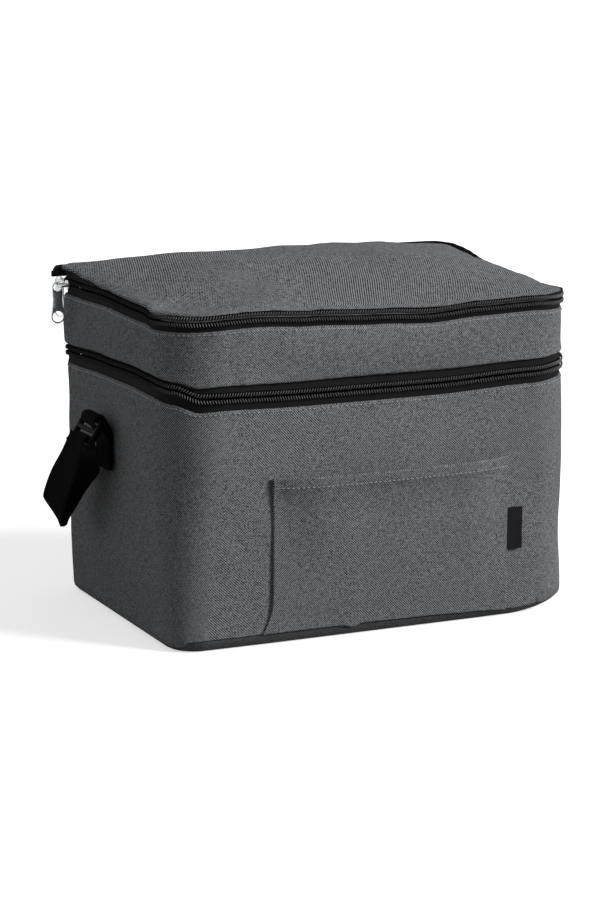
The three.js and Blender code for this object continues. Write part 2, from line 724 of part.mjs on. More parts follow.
// A sewn webbing tab: up the wall, round the buckle's bar and down over itself.
function tabPath() {
  const wallFace = HALF_W + SIDE_SWELL + GAP + WEBBING_THICKNESS / 2;
  const barX = HALF_W + BUCKLE_OUT;
  const turn = BAR_REACH + LOOP_CLEARANCE + WEBBING_THICKNESS / 2;
  const points = [[wallFace, TAB_LOW], [wallFace, TAB_BEND]];
  for (let i = 0; i <= 8; i++) {
    const angle = (150 - 30 * i) * RAD;
    points.push([barX + turn * Math.cos(angle), BUCKLE_Z + turn * Math.sin(angle)]);
  }
  const overFace = wallFace + WEBBING_THICKNESS + GAP;
  points.push(
    [overFace + GAP, TAB_BEND - TAB_RETURN], [overFace, TAB_BEND - TAB_REJOINS], [overFace, TAB_LOW]);
  return points.map(([x, z]) => new THREE.Vector3(x, TAB_CENTRE_Y, z));
}

// Ladder-lock buckle: a frame with three bars, in its own frame with x along the
// bars and y from the tab's bar to the strap's bar.
function buckleFrame() {
  const length = 2 * BUCKLE_PITCH + BUCKLE_BAR;
  const shape = roundedRectangle(BUCKLE_WIDTH, length, BUCKLE_CORNER);
  const slot = BUCKLE_WIDTH / 2 - BUCKLE_SIDE;
  for (const centre of [-0.5, 0.5]) {
    const y = centre * BUCKLE_PITCH;
    const half = (BUCKLE_PITCH - BUCKLE_BAR) / 2;
    const hole = new THREE.Path();
    hole.moveTo(-slot, y - half);
    hole.lineTo(-slot, y + half);
    hole.lineTo(slot, y + half);
    hole.lineTo(slot, y - half);
    hole.closePath();
    shape.holes.push(hole);
  }
  return extruded(shape, BUCKLE_THICKNESS, 4);
}

// The strap's end hangs in a loop from the buckle's outer bar, down and to the back.
// Each row is a point of its middle line and how far its width has turned downwards.
function loopRoute() {
  const lean = BUCKLE_LEAN * RAD;
  const barX = HALF_W + BUCKLE_OUT + 2 * BUCKLE_PITCH * Math.sin(lean);
  const barZ = BUCKLE_Z - 2 * BUCKLE_PITCH * Math.cos(lean);
  const turn = BAR_REACH + LOOP_CLEARANCE + WEBBING_THICKNESS / 2;
  const outside = barX + LOOP_BULGE;
  const inside = barX - LOOP_BULGE;
  const fallen = (x, share) => {
    const back = LOOP_BACK * Math.max(0, 1.1 * share - 0.1);
    return [[x, TAB_CENTRE_Y + back, barZ - LOOP_FALL * share], LOOP_TWIST * share];
  };
  const rows = [[[barX - turn - 1, TAB_CENTRE_Y, barZ - turn - 1], 0]];
  for (let i = 0; i <= 6; i++) {
    const angle = (195 - 32 * i) * RAD;
    rows.push([[barX + turn * Math.cos(angle), TAB_CENTRE_Y, barZ + turn * Math.sin(angle)], 0]);
  }
  rows.push(
    fallen(outside - 2, 0.3),
    fallen(outside, 0.6),
    fallen(outside, 0.9),
    fallen(outside - 1.5, 1),
    fallen(outside - 1.5 - LOOP_FOLD, 1),
    fallen(outside - 2 * LOOP_FOLD, 0.9),
    fallen((outside + inside) / 2 - LOOP_FOLD, 0.6),
    fallen(inside, 0.35),
    fallen(inside + 1, 0.2));
  return rows;
}

function strapLoop() {
  const rows = loopRoute();
  const points = rows.map(([point]) => new THREE.Vector3(...point));
  const across = rows.map(([, turn]) =>
    new THREE.Vector3(-0.4 * Math.sin(turn * RAD), -Math.cos(turn * RAD), -Math.sin(turn * RAD)));
  return strap(points, across, true);
}

function mirrored(geometry) {
  const copy = geometry.clone().scale(-1, 1, 1);
  if (!copy.getIndex()) {
    return pointedOut(mergeVertices(stripped(copy), 1e-4));
  }
  return pointedOut(copy);
}

function stripped(geometry) {
  geometry.deleteAttribute("normal");
  geometry.deleteAttribute("uv");
  return geometry;
}

function addSideFittings() {
  const lean = BUCKLE_LEAN * RAD;
  const path = tabPath();
  const across = path.map(() => new THREE.Vector3(0, -1, 0));
  const tab = strap(path, across);
  const buckle = buckleFrame().translate(0, -BUCKLE_PITCH, 0);
  const turn = new THREE.Matrix4().makeBasis(
    new THREE.Vector3(0, 1, 0),
    new THREE.Vector3(-Math.sin(lean), 0, Math.cos(lean)),
    new THREE.Vector3(Math.cos(lean), 0, Math.sin(lean)));
  buckle.applyMatrix4(turn);
  buckle.translate(HALF_W + BUCKLE_OUT, TAB_CENTRE_Y, BUCKLE_Z);
  const loop = strapLoop();
  const sides = { right: (shape) => shape, left: mirrored };
  for (const [side, placed] of Object.entries(sides)) {
    add(`${side}_strap_tab`, placed(tab), "webbing");
    add(`${side}_buckle`, placed(buckle), "plastic");
    add(`${side}_strap_loop`, placed(loop), "webbing");
  }
}

addMainCompartment();
addPocket();
addUpperCompartment();
addLid();
addSliders();
addSideFittings();

export default bag;
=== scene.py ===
import json
from math import cos, pi, radians, sin

import bmesh
import bpy
import numpy as np
from bpy.props import FloatProperty, FloatVectorProperty, IntProperty, PointerProperty
from mathutils import Matrix, Vector


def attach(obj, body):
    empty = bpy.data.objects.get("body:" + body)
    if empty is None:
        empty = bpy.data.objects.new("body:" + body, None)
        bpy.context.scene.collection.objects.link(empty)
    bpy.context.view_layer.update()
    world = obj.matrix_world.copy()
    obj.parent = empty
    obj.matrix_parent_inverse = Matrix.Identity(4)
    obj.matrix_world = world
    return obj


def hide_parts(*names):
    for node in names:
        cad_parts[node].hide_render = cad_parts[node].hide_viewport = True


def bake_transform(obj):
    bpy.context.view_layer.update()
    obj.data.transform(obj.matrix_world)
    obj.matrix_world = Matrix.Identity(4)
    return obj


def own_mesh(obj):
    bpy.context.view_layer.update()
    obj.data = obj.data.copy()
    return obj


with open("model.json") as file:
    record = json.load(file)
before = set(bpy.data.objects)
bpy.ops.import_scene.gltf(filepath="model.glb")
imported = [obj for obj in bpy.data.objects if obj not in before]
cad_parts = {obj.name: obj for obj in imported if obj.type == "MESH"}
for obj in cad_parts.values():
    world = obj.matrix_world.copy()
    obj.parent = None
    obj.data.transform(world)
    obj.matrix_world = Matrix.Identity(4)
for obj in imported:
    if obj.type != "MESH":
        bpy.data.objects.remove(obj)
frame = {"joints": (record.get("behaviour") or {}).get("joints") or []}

bl_info = {
    "name": "Two Compartment Cooler Bag",
    "version": (1, 0, 0),
    "blender": (4, 5, 0),
    "location": "View3D > Sidebar > Cooler Bag",
    "description": "Dresses the cooler bag's packed model with cloth, zips and fittings",
    "category": "Object",
}

# Every length is in metres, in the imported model's own frame: +X right, -Y front, +Z up.
MM = 0.001
JOINTS = {joint["name"]: joint for joint in frame["joints"]}
LOW_ZIP = JOINTS["compartment_cover"]["pos_m"][2]
HINGE_Y, TOP_ZIP = JOINTS["lid_cover"]["pos_m"][1:]
HALF_W = 140 * MM
HALF_D = 95 * MM
FRONT_RADIUS_BASE = 22 * MM
RIGHT_RADIUS_BASE = 27 * MM
FRONT_RADIUS_ZIP = 36 * MM
BACK_RADIUS = 14 * MM
FRONT_SWELL = 4 * MM
SIDE_SWELL = 2 * MM
BACK_SWELL = 1 * MM
PANEL_HEIGHT = 145 * MM
BAND_HEIGHT = 32 * MM

# Layers of a wall, outwards from the fabric's face
GAP = 0.3 * MM
FABRIC = 1.0 * MM
FOAM = 5.0 * MM
LINING = 0.8 * MM
BOARD = 6.0 * MM
TAPE = 0.6 * MM
UNDER_FABRIC = -(FABRIC + GAP)
WALL_LINING = UNDER_FABRIC - FOAM - GAP
TAPE_BACK = UNDER_FABRIC - TAPE
TAPE_END = 8.7 * MM
INNER_EDGE = -5.83 * MM
BASE_ROLL = 7 * MM
BASE_FLOOR = 1.3 * MM
LID_CROWN = 17 * MM
LID_REACH = 90 * MM

# Zips: distances from the mesh of the teeth, and sizes of the teeth and the standing tape
TAPE_START = 1.4 * MM
COIL_START = 0.55 * MM
COIL_END = 3.6 * MM
TOOTH_START = 0.25 * MM
TOOTH_WIDTH = 0.58 * MM
TOOTH_DEPTH = 1.5 * MM
TOOTH_LEAN = radians(24)
FOLD = 1.1 * MM

# Front pocket
POCKET_WIDTH = 166 * MM
POCKET_HEIGHT = 98 * MM
POCKET_TOP = 105.4 * MM

# Side fittings
WEBBING_WIDTH = 25 * MM
WEBBING_THICKNESS = 1.3 * MM
TAB_Y = 8 * MM
BUCKLE_X = HALF_W + 10.5 * MM
BUCKLE_Z = 129.5 * MM
BUCKLE_PITCH = 7.4 * MM
BUCKLE_LEAN = radians(32)
BAR_TURN = 3.758 * MM


# Plan outline. s is the way round in metres, from the back left corner down the left
# side, across the front, up the right side and along the back.

CORNERS = [(-1, 1, 90), (-1, -1, 180), (1, -1, 270), (1, 1, 0)]
NORMALS = [(-1, 0), (0, -1), (1, 0), (0, 1)]
SWELLS = [SIDE_SWELL, FRONT_SWELL, SIDE_SWELL, BACK_SWELL]
BACK_ARC = BACK_RADIUS * pi / 2
FRONT_ARC = FRONT_RADIUS_ZIP * pi / 2
SIDE_RUN = 2 * HALF_D - BACK_RADIUS - FRONT_RADIUS_ZIP
FRONT_RUN = 2 * (HALF_W - FRONT_RADIUS_ZIP)
BACK_RUN = 2 * (HALF_W - BACK_RADIUS)
LENGTHS = [BACK_ARC, SIDE_RUN, FRONT_ARC, FRONT_RUN, FRONT_ARC, SIDE_RUN, BACK_ARC, BACK_RUN]
STARTS = np.concatenate([[0.0], np.cumsum(LENGTHS)])
ROUND = STARTS[-1]
S_LEFT, S_FRONT_LEFT, S_FRONT, S_FRONT_RIGHT, S_RIGHT, S_BACK_RIGHT, S_BACK = STARTS[1:8]
CORNER_MIDDLES = [*(STARTS[0:8:2] + STARTS[1:8:2]) / 2, ROUND + BACK_ARC / 2]


def at_left(y):
    return S_LEFT + HALF_D - BACK_RADIUS - y * MM


def at_front(x):
    return S_FRONT + HALF_W - FRONT_RADIUS_ZIP + x * MM


def at_right(y):
    return S_RIGHT + HALF_D - FRONT_RADIUS_ZIP + y * MM


def round_back(degrees):
    """Where the cloth begins and ends that goes so far round both back corners."""
    turn = radians(degrees) * BACK_RADIUS
    return S_LEFT - turn, S_BACK_RIGHT + turn


WRAP_START, WRAP_STOP = round_back(85)
SEAM = radians(1.5) * BACK_RADIUS
BACK_PANEL = WRAP_STOP + SEAM, ROUND + WRAP_START - SEAM


def smooth(share):
    return share * share * (3 - 2 * share)


def near(distance, reach):
    """1 at an edge, easing to 0 at reach away from it."""
    return smooth(np.clip(1 - np.asarray(distance) / reach, 0, 1))


def rounded_off(distance, depth):
    """How far a face steps back by the depth on its last millimetre up to an edge."""
    return depth * (1 - np.sqrt(1 - np.clip(1 - distance / MM, 0, 1) ** 2))


def unit(vectors):
    return vectors / np.linalg.norm(vectors, axis=-1, keepdims=True)


def level(z):
    """A value that is the same everywhere, whatever the place it is asked for."""
    return lambda place, *_: z + 0 * place


def front_radius(side, z):
    base = RIGHT_RADIUS_BASE if side > 0 else FRONT_RADIUS_BASE
    return base + (FRONT_RADIUS_ZIP - base) * np.clip(z / LOW_ZIP, 0, 1)


def corner_point(corner, degrees, z, offset):
    side, end, _ = CORNERS[corner]
    nominal = front_radius(side, z) if end < 0 else BACK_RADIUS
    radius = np.maximum(nominal + offset, 2 * MM)
    angle = np.radians(degrees)
    x = side * (HALF_W + offset - radius) + radius * np.cos(angle)
    y = end * (HALF_D + offset - radius) + radius * np.sin(angle)
    return np.stack([x, y, z], -1)


def outline(s, z, offset=0.0, full=0.0):
    """Points round the bag at heights z, moved out by offset; full swells the sides."""
    s, z, offset, full = np.broadcast_arrays(
        *(np.asarray(x, float) for x in (s, z, offset, full)))
    way = np.mod(s, ROUND)
    points = np.zeros(way.shape + (3,))
    for k in range(8):
        here = (way >= STARTS[k]) & (way < STARTS[k + 1])
        if not here.any():
            continue
        share = (way[here] - STARTS[k]) / LENGTHS[k]
        corner = k // 2
        start = CORNERS[corner][2]
        if k % 2 == 0:
            points[here] = corner_point(corner, start + 90 * share, z[here], offset[here])
            continue
        following = (corner + 1) % 4
        a = corner_point(corner, start + 90, z[here], offset[here])
        b = corner_point(following, CORNERS[following][2], z[here], offset[here])
        out = full[here] * SWELLS[corner] * np.sin(pi * share)
        normal = np.array([*NORMALS[corner], 0])
        points[here] = a + (b - a) * share[:, None] + out[:, None] * normal
    return points


def outward(s):
    """Unit vectors out of the bag at s, level."""
    step = 0.2 * MM
    ahead = outline(s + step, LOW_ZIP) - outline(s - step, LOW_ZIP)
    return unit(np.stack([ahead[..., 1], -ahead[..., 0], 0 * ahead[..., 0]], -1))


def eased(s, knots):
    """A height in metres that eases from knot to knot; each is a way round and mm."""
    ways, heights = np.array(knots, float).T
    heights = heights * MM
    place = np.clip(np.searchsorted(ways, s) - 1, 0, len(ways) - 2)
    share = np.clip((s - ways[place]) / (ways[place + 1] - ways[place]), 0, 1)
    return heights[place] + (heights[place + 1] - heights[place]) * smooth(share)


def eased_round(s, knots):
    return eased(np.mod(s, ROUND), knots)


# The zips sag at the front and arch at the side. They stay level where sliders run.

LOW_LINE = [
    (0, 0), (at_left(76), 1.3), (at_left(16), 3.7), (at_left(-40), 5.2), (S_FRONT_LEFT, 4.6),
    (S_FRONT_LEFT + 24 * MM, 1.5), (at_front(-119), -3.5), (at_front(-47), -4.9),
    (at_front(33), -5), (at_front(104), -2.8), (S_FRONT_RIGHT + 26 * MM, -1.6), (S_RIGHT, 0),
    (ROUND, 0)]
TOP_LINE = [
    (0, 0), (at_left(60), 0.2), (at_left(14), 1.3), (at_left(-44), 0), (at_left(-54), 0),
    (S_FRONT_LEFT + 8 * MM, -1.9), (S_FRONT_LEFT + 28 * MM, -1.8), (at_front(-84), -0.5),
    (at_front(-47), -2.2), (at_front(-3), -4), (at_front(32), -5.7), (at_front(68), -3.6),
    (S_FRONT_RIGHT, -2.8),
    (S_FRONT_RIGHT + 28 * MM, -3.9), (at_right(-52), -4.5), (at_right(-20), -2.5),
    (at_right(11), -1.1), (at_right(45), 0), (ROUND, 0)]
MAIN_TOP = [
    (0, -8.2), (at_left(57), -8.6), (at_left(0), -9), (at_left(-50), -9.8),
    (S_FRONT_LEFT + 28 * MM, -9.6), (at_front(-102), -7.8), (at_front(100), -7.6), (ROUND, -7.6)]
BAND_LOW = [
    (0, 6), (at_left(75), 4.2), (at_left(39), 4.6), (at_left(3), 4.2), (at_left(-40), 3.9),
    (S_FRONT_LEFT + 20 * MM, 4.6), (at_front(-102), 7.4), (at_front(0), 8.3),
    (S_FRONT_RIGHT + 20 * MM, 7.8), (ROUND, 8.1)]
BAND_TOP = [
    (0, -7), (at_left(14), -7), (S_FRONT_LEFT, -6.6), (at_front(-84), -6.2), (ROUND, -6.2)]
LID_EDGE = [
    (0, 9.6), (at_left(80), 9.2), (at_left(48), 6.6), (at_left(15), 3.9), (at_left(-44), 3.7),
    (at_left(-55), 3.7), (S_FRONT_LEFT + 12 * MM, 3.2), (at_front(-90), 3.6), (at_front(90), 3.6),
    (S_FRONT_RIGHT + 30 * MM, 3.2), (at_right(-52), 2.6), (at_right(-20), 3), (at_right(25), 3.6),
    (at_right(45), 3.6), (at_right(62), 5.4), (round_back(20)[1], 7.4), (S_BACK, 8.2),
    (S_BACK + 50 * MM, 9.8), (ROUND, 9.8)]
LID_MIDDLE = [
    (-95 * MM, 1.5), (-58 * MM, 1.5), (15 * MM, 2.9), (45 * MM, 5.5), (62 * MM, 9), (80 * MM, 11),
    (95 * MM, 11)]
BASE_EDGE = [
    (0, 2), (S_LEFT, 0.5), (S_FRONT_LEFT + 29 * MM, 0.6), (S_FRONT_LEFT + 37 * MM, 4.8),
    (S_FRONT, 5.6), (at_front(-60), 5.7), (at_front(-28), 5.7), (at_front(-21), 3.9),
    (at_front(-14), 5.6), (at_front(24), 5.2), (at_front(62), 4.2), (at_front(92), 2.4),
    (S_FRONT_RIGHT + 9 * MM, 0.7), (S_RIGHT, 0.3), (S_BACK_RIGHT, 2), (ROUND, 2)]


def low_line(s):
    return LOW_ZIP + eased_round(s, LOW_LINE)


def top_line(s):
    return TOP_ZIP + eased_round(s, TOP_LINE)


def lid_edge(s):
    return top_line(s) + eased_round(s, LID_EDGE)


def wrap_top(s):
    return low_line(s) + eased(s, MAIN_TOP)


def band_low(s):
    return low_line(s) + eased(s, BAND_LOW)


def band_top(s):
    return top_line(s) + eased(s, BAND_TOP)


def corner_lift(x, y):
    """How far the base's front right corner turns up off the floor."""
    return 6 * MM * near(np.hypot(x - HALF_W, y + HALF_D), 48 * MM)


def rim_lift(s):
    rim = outline(s, 0)
    return corner_lift(rim[..., 0], rim[..., 1])


def base_edge(s):
    """Upper edge of the base cloth, which shows as a strip at the left and front; its darker colour
    is partly painted shade of the rolled-under base.
    """
    return 1 * MM + rim_lift(s) + eased(s, BASE_EDGE)


def lean_in(s):
    """How far the sides and the back lean in towards the base."""
    front = near(np.abs(np.mod(s, ROUND) - at_front(0)), FRONT_RUN / 2 + FRONT_ARC)
    return 1.4 * MM * np.clip(1 - 1.6 * front, 0, 1)


def roll_in(s, height):
    """How far the wall leans in, and turns in where it rolls under the bag."""
    rise = np.clip(height - rim_lift(s), 0, BASE_ROLL)
    rolled = -BASE_ROLL + np.sqrt(np.maximum(BASE_ROLL**2 - (BASE_ROLL - rise) ** 2, 0))
    return rolled - lean_in(s) * near(height - 38 * MM, 92 * MM)


def field(u, v, cell, seed):
    """A smooth random field from -1 to 1, whose waves are about two cells long."""
    count = 96
    grid = np.random.default_rng(seed).uniform(-1, 1, (count, count))
    x, y = np.asarray(u) / cell, np.asarray(v) / cell
    i, j = np.floor(x).astype(int), np.floor(y).astype(int)
    fx, fy = smooth(x - i), smooth(y - j)
    at = lambda a, b: grid[(i + a) % count, (j + b) % count]
    low = at(0, 0) * (1 - fx) + at(1, 0) * fx
    high = at(0, 1) * (1 - fx) + at(1, 1) * fx
    return low * (1 - fy) + high * fy


def shares(length, step):
    """Places from 0 to 1 along a length, closer together at both ends for a rolled edge."""
    inner = np.linspace(0, 1, max(2, round(length / step)) + 1)
    close = np.array([0, 0.25, 0.7, 1.3, 2.2]) * MM / length
    kept = inner[(inner > close[-1] * 1.3) & (inner < 1 - close[-1] * 1.3)]
    return np.concatenate([close, kept, 1 - close[::-1]])


# Meshes


def placed(name, data):
    """A new object in the scene for a mesh or other data."""
    obj = bpy.data.objects.new(name, data)
    bpy.context.scene.collection.objects.link(obj)
    return obj


def crisp(mesh, sharp):
    """Shades a mesh smooth, but for edges that turn by more than so many degrees."""
    mesh.shade_smooth()
    mesh.set_sharp_from_angle(angle=radians(sharp))


def mesh_object(name, points, faces, uvs=None, sharp=40):
    """A smooth-shaded mesh from points and faces, with its faces turned outwards."""
    points = np.asarray(points, float).reshape(-1, 3)
    volume = 0.0
    for size in {len(f) for f in faces}:
        group = np.array([f for f in faces if len(f) == size])
        for k in range(1, size - 1):
            a, b, c = points[group[:, 0]], points[group[:, k]], points[group[:, k + 1]]
            volume += np.einsum("ij,ij->i", a, np.cross(b, c)).sum()
    if volume < 0:
        faces = [f[::-1] for f in faces]
        uvs = uvs and [f[::-1] for f in uvs]
    mesh = bpy.data.meshes.new(name)
    mesh.from_pydata(points.tolist(), [], faces)
    if uvs:
        layer = mesh.uv_layers.new(name="UVMap")
        flat = np.array([corner for f in uvs for corner in f], np.float32)
        layer.data.foreach_set("uv", flat.ravel())
    crisp(mesh, sharp)
    mesh.update()
    return placed(name, mesh)


def shell(name, outer, inner, uv):
    """Cloth between two grids of points (columns, rows), closed along its edges."""
    n, m = outer.shape[:2]
    faces, uvs = [], []

    def quad(*corners):
        faces.append(tuple(face * n * m + i * m + j for face, i, j in corners))
        uvs.append(tuple(tuple(uv[i, j]) for _, i, j in corners))

    for i in range(n - 1):
        for j in range(m - 1):
            quad((0, i, j), (0, i + 1, j), (0, i + 1, j + 1), (0, i, j + 1))
            quad((1, i + 1, j), (1, i, j), (1, i, j + 1), (1, i + 1, j + 1))
        quad((1, i, 0), (1, i + 1, 0), (0, i + 1, 0), (0, i, 0))
        quad((0, i, m - 1), (0, i + 1, m - 1), (1, i + 1, m - 1), (1, i, m - 1))
    for j in range(m - 1):
        quad((1, 0, j), (0, 0, j), (0, 0, j + 1), (1, 0, j + 1))
        quad((0, n - 1, j), (1, n - 1, j), (1, n - 1, j + 1), (0, n - 1, j + 1))
    return mesh_object(name, np.stack([outer, inner]), faces, uvs)


def wall(name, start, stop, low, high, face=0.0, thickness=FABRIC, step=2.2 * MM,
         rise=2.4 * MM, relief=level(0), full=level(0), inside=None):
    """A wall that follows the outline from start to stop, between the heights low and
    high, which are functions of the way round. relief moves its points outwards, and
    inside holds the inner face at one offset."""
    s = np.linspace(start, stop, max(3, round((stop - start) / step)) + 1)[:, None]
    bottom, span = low(s), high(s) - low(s)
    place = shares(float(np.mean(span)), rise)
    s = s + 0 * place
    z = bottom + span * place
    swell = full(s, z, place)
    rounding = rounded_off(np.minimum(place, 1 - place) * span, 0.5 * thickness)
    out = face + relief(s, z, place) - rounding
    outer = outline(s, z, out, swell)
    inner = outline(s, z, out - thickness if inside is None else inside, swell)
    return shell(name, outer, inner, np.stack([s, z], -1))


def perimeter(columns, rows):
    """Ways round for the border of a patch of cells, and its cells' border in order."""
    ways = np.concatenate([
        np.linspace(*CORNER_MIDDLES[k:k + 2], (rows, columns)[k % 2], endpoint=False)
        for k in range(4)])
    border = [(0, rows - j) for j in range(rows)] + [(i, 0) for i in range(columns)]
    border += [(columns, j) for j in range(rows)] + [(columns - i, rows) for i in range(columns)]
    return ways, border


def face_of_patch(edge, height, columns, rows, border):
    """A grid of points inside a ring. height takes x, y, the ring's height straight
    outwards and how far out the point lies, from 0 in the middle to 1 at the ring."""
    place = {cell: k for k, cell in enumerate(border)}
    points = np.zeros((columns + 1, rows + 1, 3))
    rim = np.full((columns + 1, rows + 1), edge[:, 2].mean())
    out = np.zeros((columns + 1, rows + 1))
    tiny = 1e-6
    for i in range(columns + 1):
        for j in range(rows + 1):
            a, b = 2 * i / columns - 1, 2 * j / rows - 1
            reach = max(abs(a), abs(b))
            if reach < tiny:
                continue
            p, q = (a / reach + 1) / 2 * columns, (b / reach + 1) / 2 * rows
            first = int(p + tiny), int(q + tiny)
            share = max(p - first[0], q - first[1])
            target = edge[place[first]]
            if share > tiny:
                other = first[0] + (p - first[0] > tiny), first[1] + (q - first[1] > tiny)
                target = target * (1 - share) + edge[place[other]] * share
            points[i, j, :2] = target[:2] * reach
            rim[i, j], out[i, j] = target[2], reach
    points[..., 2] = height(points[..., 0], points[..., 1], rim, out)
    for cell, point in zip(border, edge):
        points[cell] = point
    return points


def patch_body(name, upper, lower, height_upper, height_lower, columns=60, rows=40, stretch=1.0):
    """A body across the whole plan between two faces. Each face is a patch with rings
    round it; a ring is (height, offset) and the last rings of both faces are joined.
    stretch draws the pattern out from front to back where the cloth lies level."""
    ways, border = perimeter(columns, rows)
    count, base = len(ways), 0
    normals = outward(ways)[:, :2]
    points, faces, uvs, last = [], [], [], []

    def face(loop, turned=False):
        loop = loop[::-1] if turned else loop
        faces.append(tuple(k for k, _ in loop))
        uvs.append(tuple(tuple(place) for _, place in loop))

    for side, (rings, height) in enumerate([(upper, height_upper), (lower, height_lower)]):
        made = [outline(ways, *(value(ways) if callable(value) else value for value in ring))
                for ring in rings]
        patch = face_of_patch(made[0], height, columns, rows, border)
        steps = np.hypot(np.diff(patch[..., 1], axis=1) / stretch, np.diff(patch[..., 2], axis=1))
        along = np.cumsum(np.insert(steps, 0, 0, axis=1), axis=1)
        middle = rows // 2
        along += (patch[:, middle, 1] / stretch - along[:, middle])[:, None]
        uv = np.stack([patch[..., 0], along], -1)
        grid = lambda i, j: (base + i * (rows + 1) + j, uv[i, j])
        for i in range(columns):
            for j in range(rows):
                face([grid(i, j), grid(i + 1, j), grid(i + 1, j + 1), grid(i, j + 1)], side)
        points.append(patch.reshape(-1, 3))
        previous, before = [grid(*cell) for cell in border], made[0]
        base += len(points[-1])
        for ring in made[1:]:
            length = np.linalg.norm(ring - before, axis=1)
            places = np.array([place for _, place in previous]) + normals * length[:, None]
            points.append(ring)
            current = [(base + k, places[k]) for k in range(count)]
            for k in range(count):
                j = (k + 1) % count
                face([previous[k], current[k], current[j], previous[j]], side)
            previous, before = current, ring
            base += count
        last.append(previous)
    a, b = last
    for k in range(count):
        j = (k + 1) % count
        face([a[k], b[k], b[j], a[j]])
    return mesh_object(name, np.concatenate(points), faces, uvs)


def smooth_path(points, step, closed=False):
    """A Catmull-Rom line through rows of numbers, with points about step apart."""
    points = np.asarray(points, float)
    n = len(points)
    pick = lambda k: points[k % n] if closed else points[min(max(k, 0), n - 1)]
    made = []
    for k in range(n if closed else n - 1):
        p0, p1, p2, p3 = (pick(k + i) for i in (-1, 0, 1, 2))
        count = max(1, round(np.linalg.norm((p2 - p1)[:3]) / step))
        for t in np.arange(count) / count:
            made.append(0.5 * (2 * p1 + (p2 - p0) * t + (2 * p0 - 5 * p1 + 4 * p2 - p3) * t**2
                               + (3 * p1 - p0 - 3 * p2 + p3) * t**3))
    if not closed:
        made.append(points[-1])
    return np.array(made)


def swept(name, path, across, x, y, closed=False, widths=1.0, mapped=True, sharp=60):
    """A section, given as points x and y, swept along a path. across is the direction of
    x, and widths scales x along the path."""
    n, sides = len(path), len(x)
    ahead = unit(np.roll(path, -1, 0) - np.roll(path, 1, 0) if closed
                 else np.gradient(path, axis=0))
    across = np.broadcast_to(across, path.shape)
    wide = unit(across - np.einsum("ij,ij->i", across, ahead)[:, None] * ahead)
    up = np.cross(ahead, wide)
    points = path[:, None] + wide[:, None] * (x * widths)[..., None] + up[:, None] * y[:, None]
    way = np.append(0, np.cumsum(np.linalg.norm(np.roll(path, -1, 0) - path, axis=1)))
    faces, uvs = [], []
    for i in range(n if closed else n - 1):
        near_row, far_row = i * sides, (i + 1) % n * sides
        for k in range(sides):
            h = (k + 1) % sides
            faces.append((near_row + k, near_row + h, far_row + h, far_row + k))
            uvs.append(((way[i], x[k]), (way[i], x[h]), (way[i + 1], x[h]), (way[i + 1], x[k])))
    if not closed:
        for end, order in ((0, range(sides)[::-1]), (n - 1, range(sides))):
            faces.append(tuple(end * sides + k for k in order))
            uvs.append(tuple((way[end], x[k]) for k in order))
    return mesh_object(name, points, faces, uvs if mapped else None, sharp)


def ribbon(name, path, across, width, thickness, closed=False, widths=1.0):
    """A strap swept along a path, with rounded edges."""
    turn = np.linspace(0, 2 * pi, 16, endpoint=False)
    x = np.sign(np.cos(turn)) * np.abs(np.cos(turn)) ** 0.35 * width / 2
    y = np.sign(np.sin(turn)) * np.abs(np.sin(turn)) ** 0.8 * thickness / 2
    return swept(name, path, across, x, y, closed, widths)


def circle(x, y, radius, count, start=0.0, stop=360.0, endpoint=False):
    angles = np.radians(np.linspace(start, stop, count, endpoint=endpoint))
    return [(x + radius * cos(a), y + radius * sin(a)) for a in angles]


def rounded_box(width, height, radius, steps=6):
    points = []
    for k, (sx, sy) in enumerate([(1, 1), (-1, 1), (-1, -1), (1, -1)]):
        points += circle(sx * (width / 2 - radius), sy * (height / 2 - radius), radius,
                         steps + 1, 90 * k, 90 * k + 90, True)
    return points


def moved(obj, matrix):
    """The object with its mesh moved by a matrix, which may mirror it."""
    obj.data.transform(matrix)
    if matrix.determinant() < 0:
        obj.data.flip_normals()
    return obj


def plate(name, loops, thickness, bevel, matrix, steps=3):
    """A flat piece with holes and rounded rims: loops are its outline and its holes."""
    curve = bpy.data.curves.new(name, "CURVE")
    curve.dimensions, curve.fill_mode = "2D", "BOTH"
    curve.extrude, curve.bevel_depth = thickness / 2 - bevel, bevel
    curve.bevel_resolution, curve.offset = steps, -bevel
    for loop in loops:
        spline = curve.splines.new("POLY")
        spline.points.add(len(loop) - 1)
        for point, (x, y) in zip(spline.points, loop):
            point.co = (x, y, 0, 1)
        spline.use_cyclic_u = True
    obj = moved(plain_copy(placed(name, curve), name), matrix)
    weld(obj.data)
    return obj


def weld(mesh, distance=0.005 * MM, sharp=35):
    """Merges doubles, and marks the edges that stay crisp."""
    work = bmesh.new()
    work.from_mesh(mesh)
    bmesh.ops.remove_doubles(work, verts=work.verts, dist=distance)
    bmesh.ops.dissolve_degenerate(work, edges=work.edges, dist=distance)
    work.to_mesh(mesh)
    work.free()
    crisp(mesh, sharp)


def plain_copy(source, name):
    """The evaluated shape of an object as a plain mesh object, which takes its place."""
    graph = bpy.context.evaluated_depsgraph_get()
    mesh = bpy.data.meshes.new_from_object(source.evaluated_get(graph), depsgraph=graph)
    bpy.data.objects.remove(source)
    mesh.name = name
    return placed(name, mesh)


def combined(name, objects):
    """One object from several, which are removed."""
    for obj in bpy.context.selected_objects:
        obj.select_set(False)
    for obj in objects:
        obj.select_set(True)
    bpy.context.view_layer.objects.active = objects[0]
    bpy.ops.object.join()
    objects[0].name = name
    objects[0].select_set(False)
    return objects[0]


SLOTS = {"thread": "cloth", "tooth": "coil", "bed": "coil"}


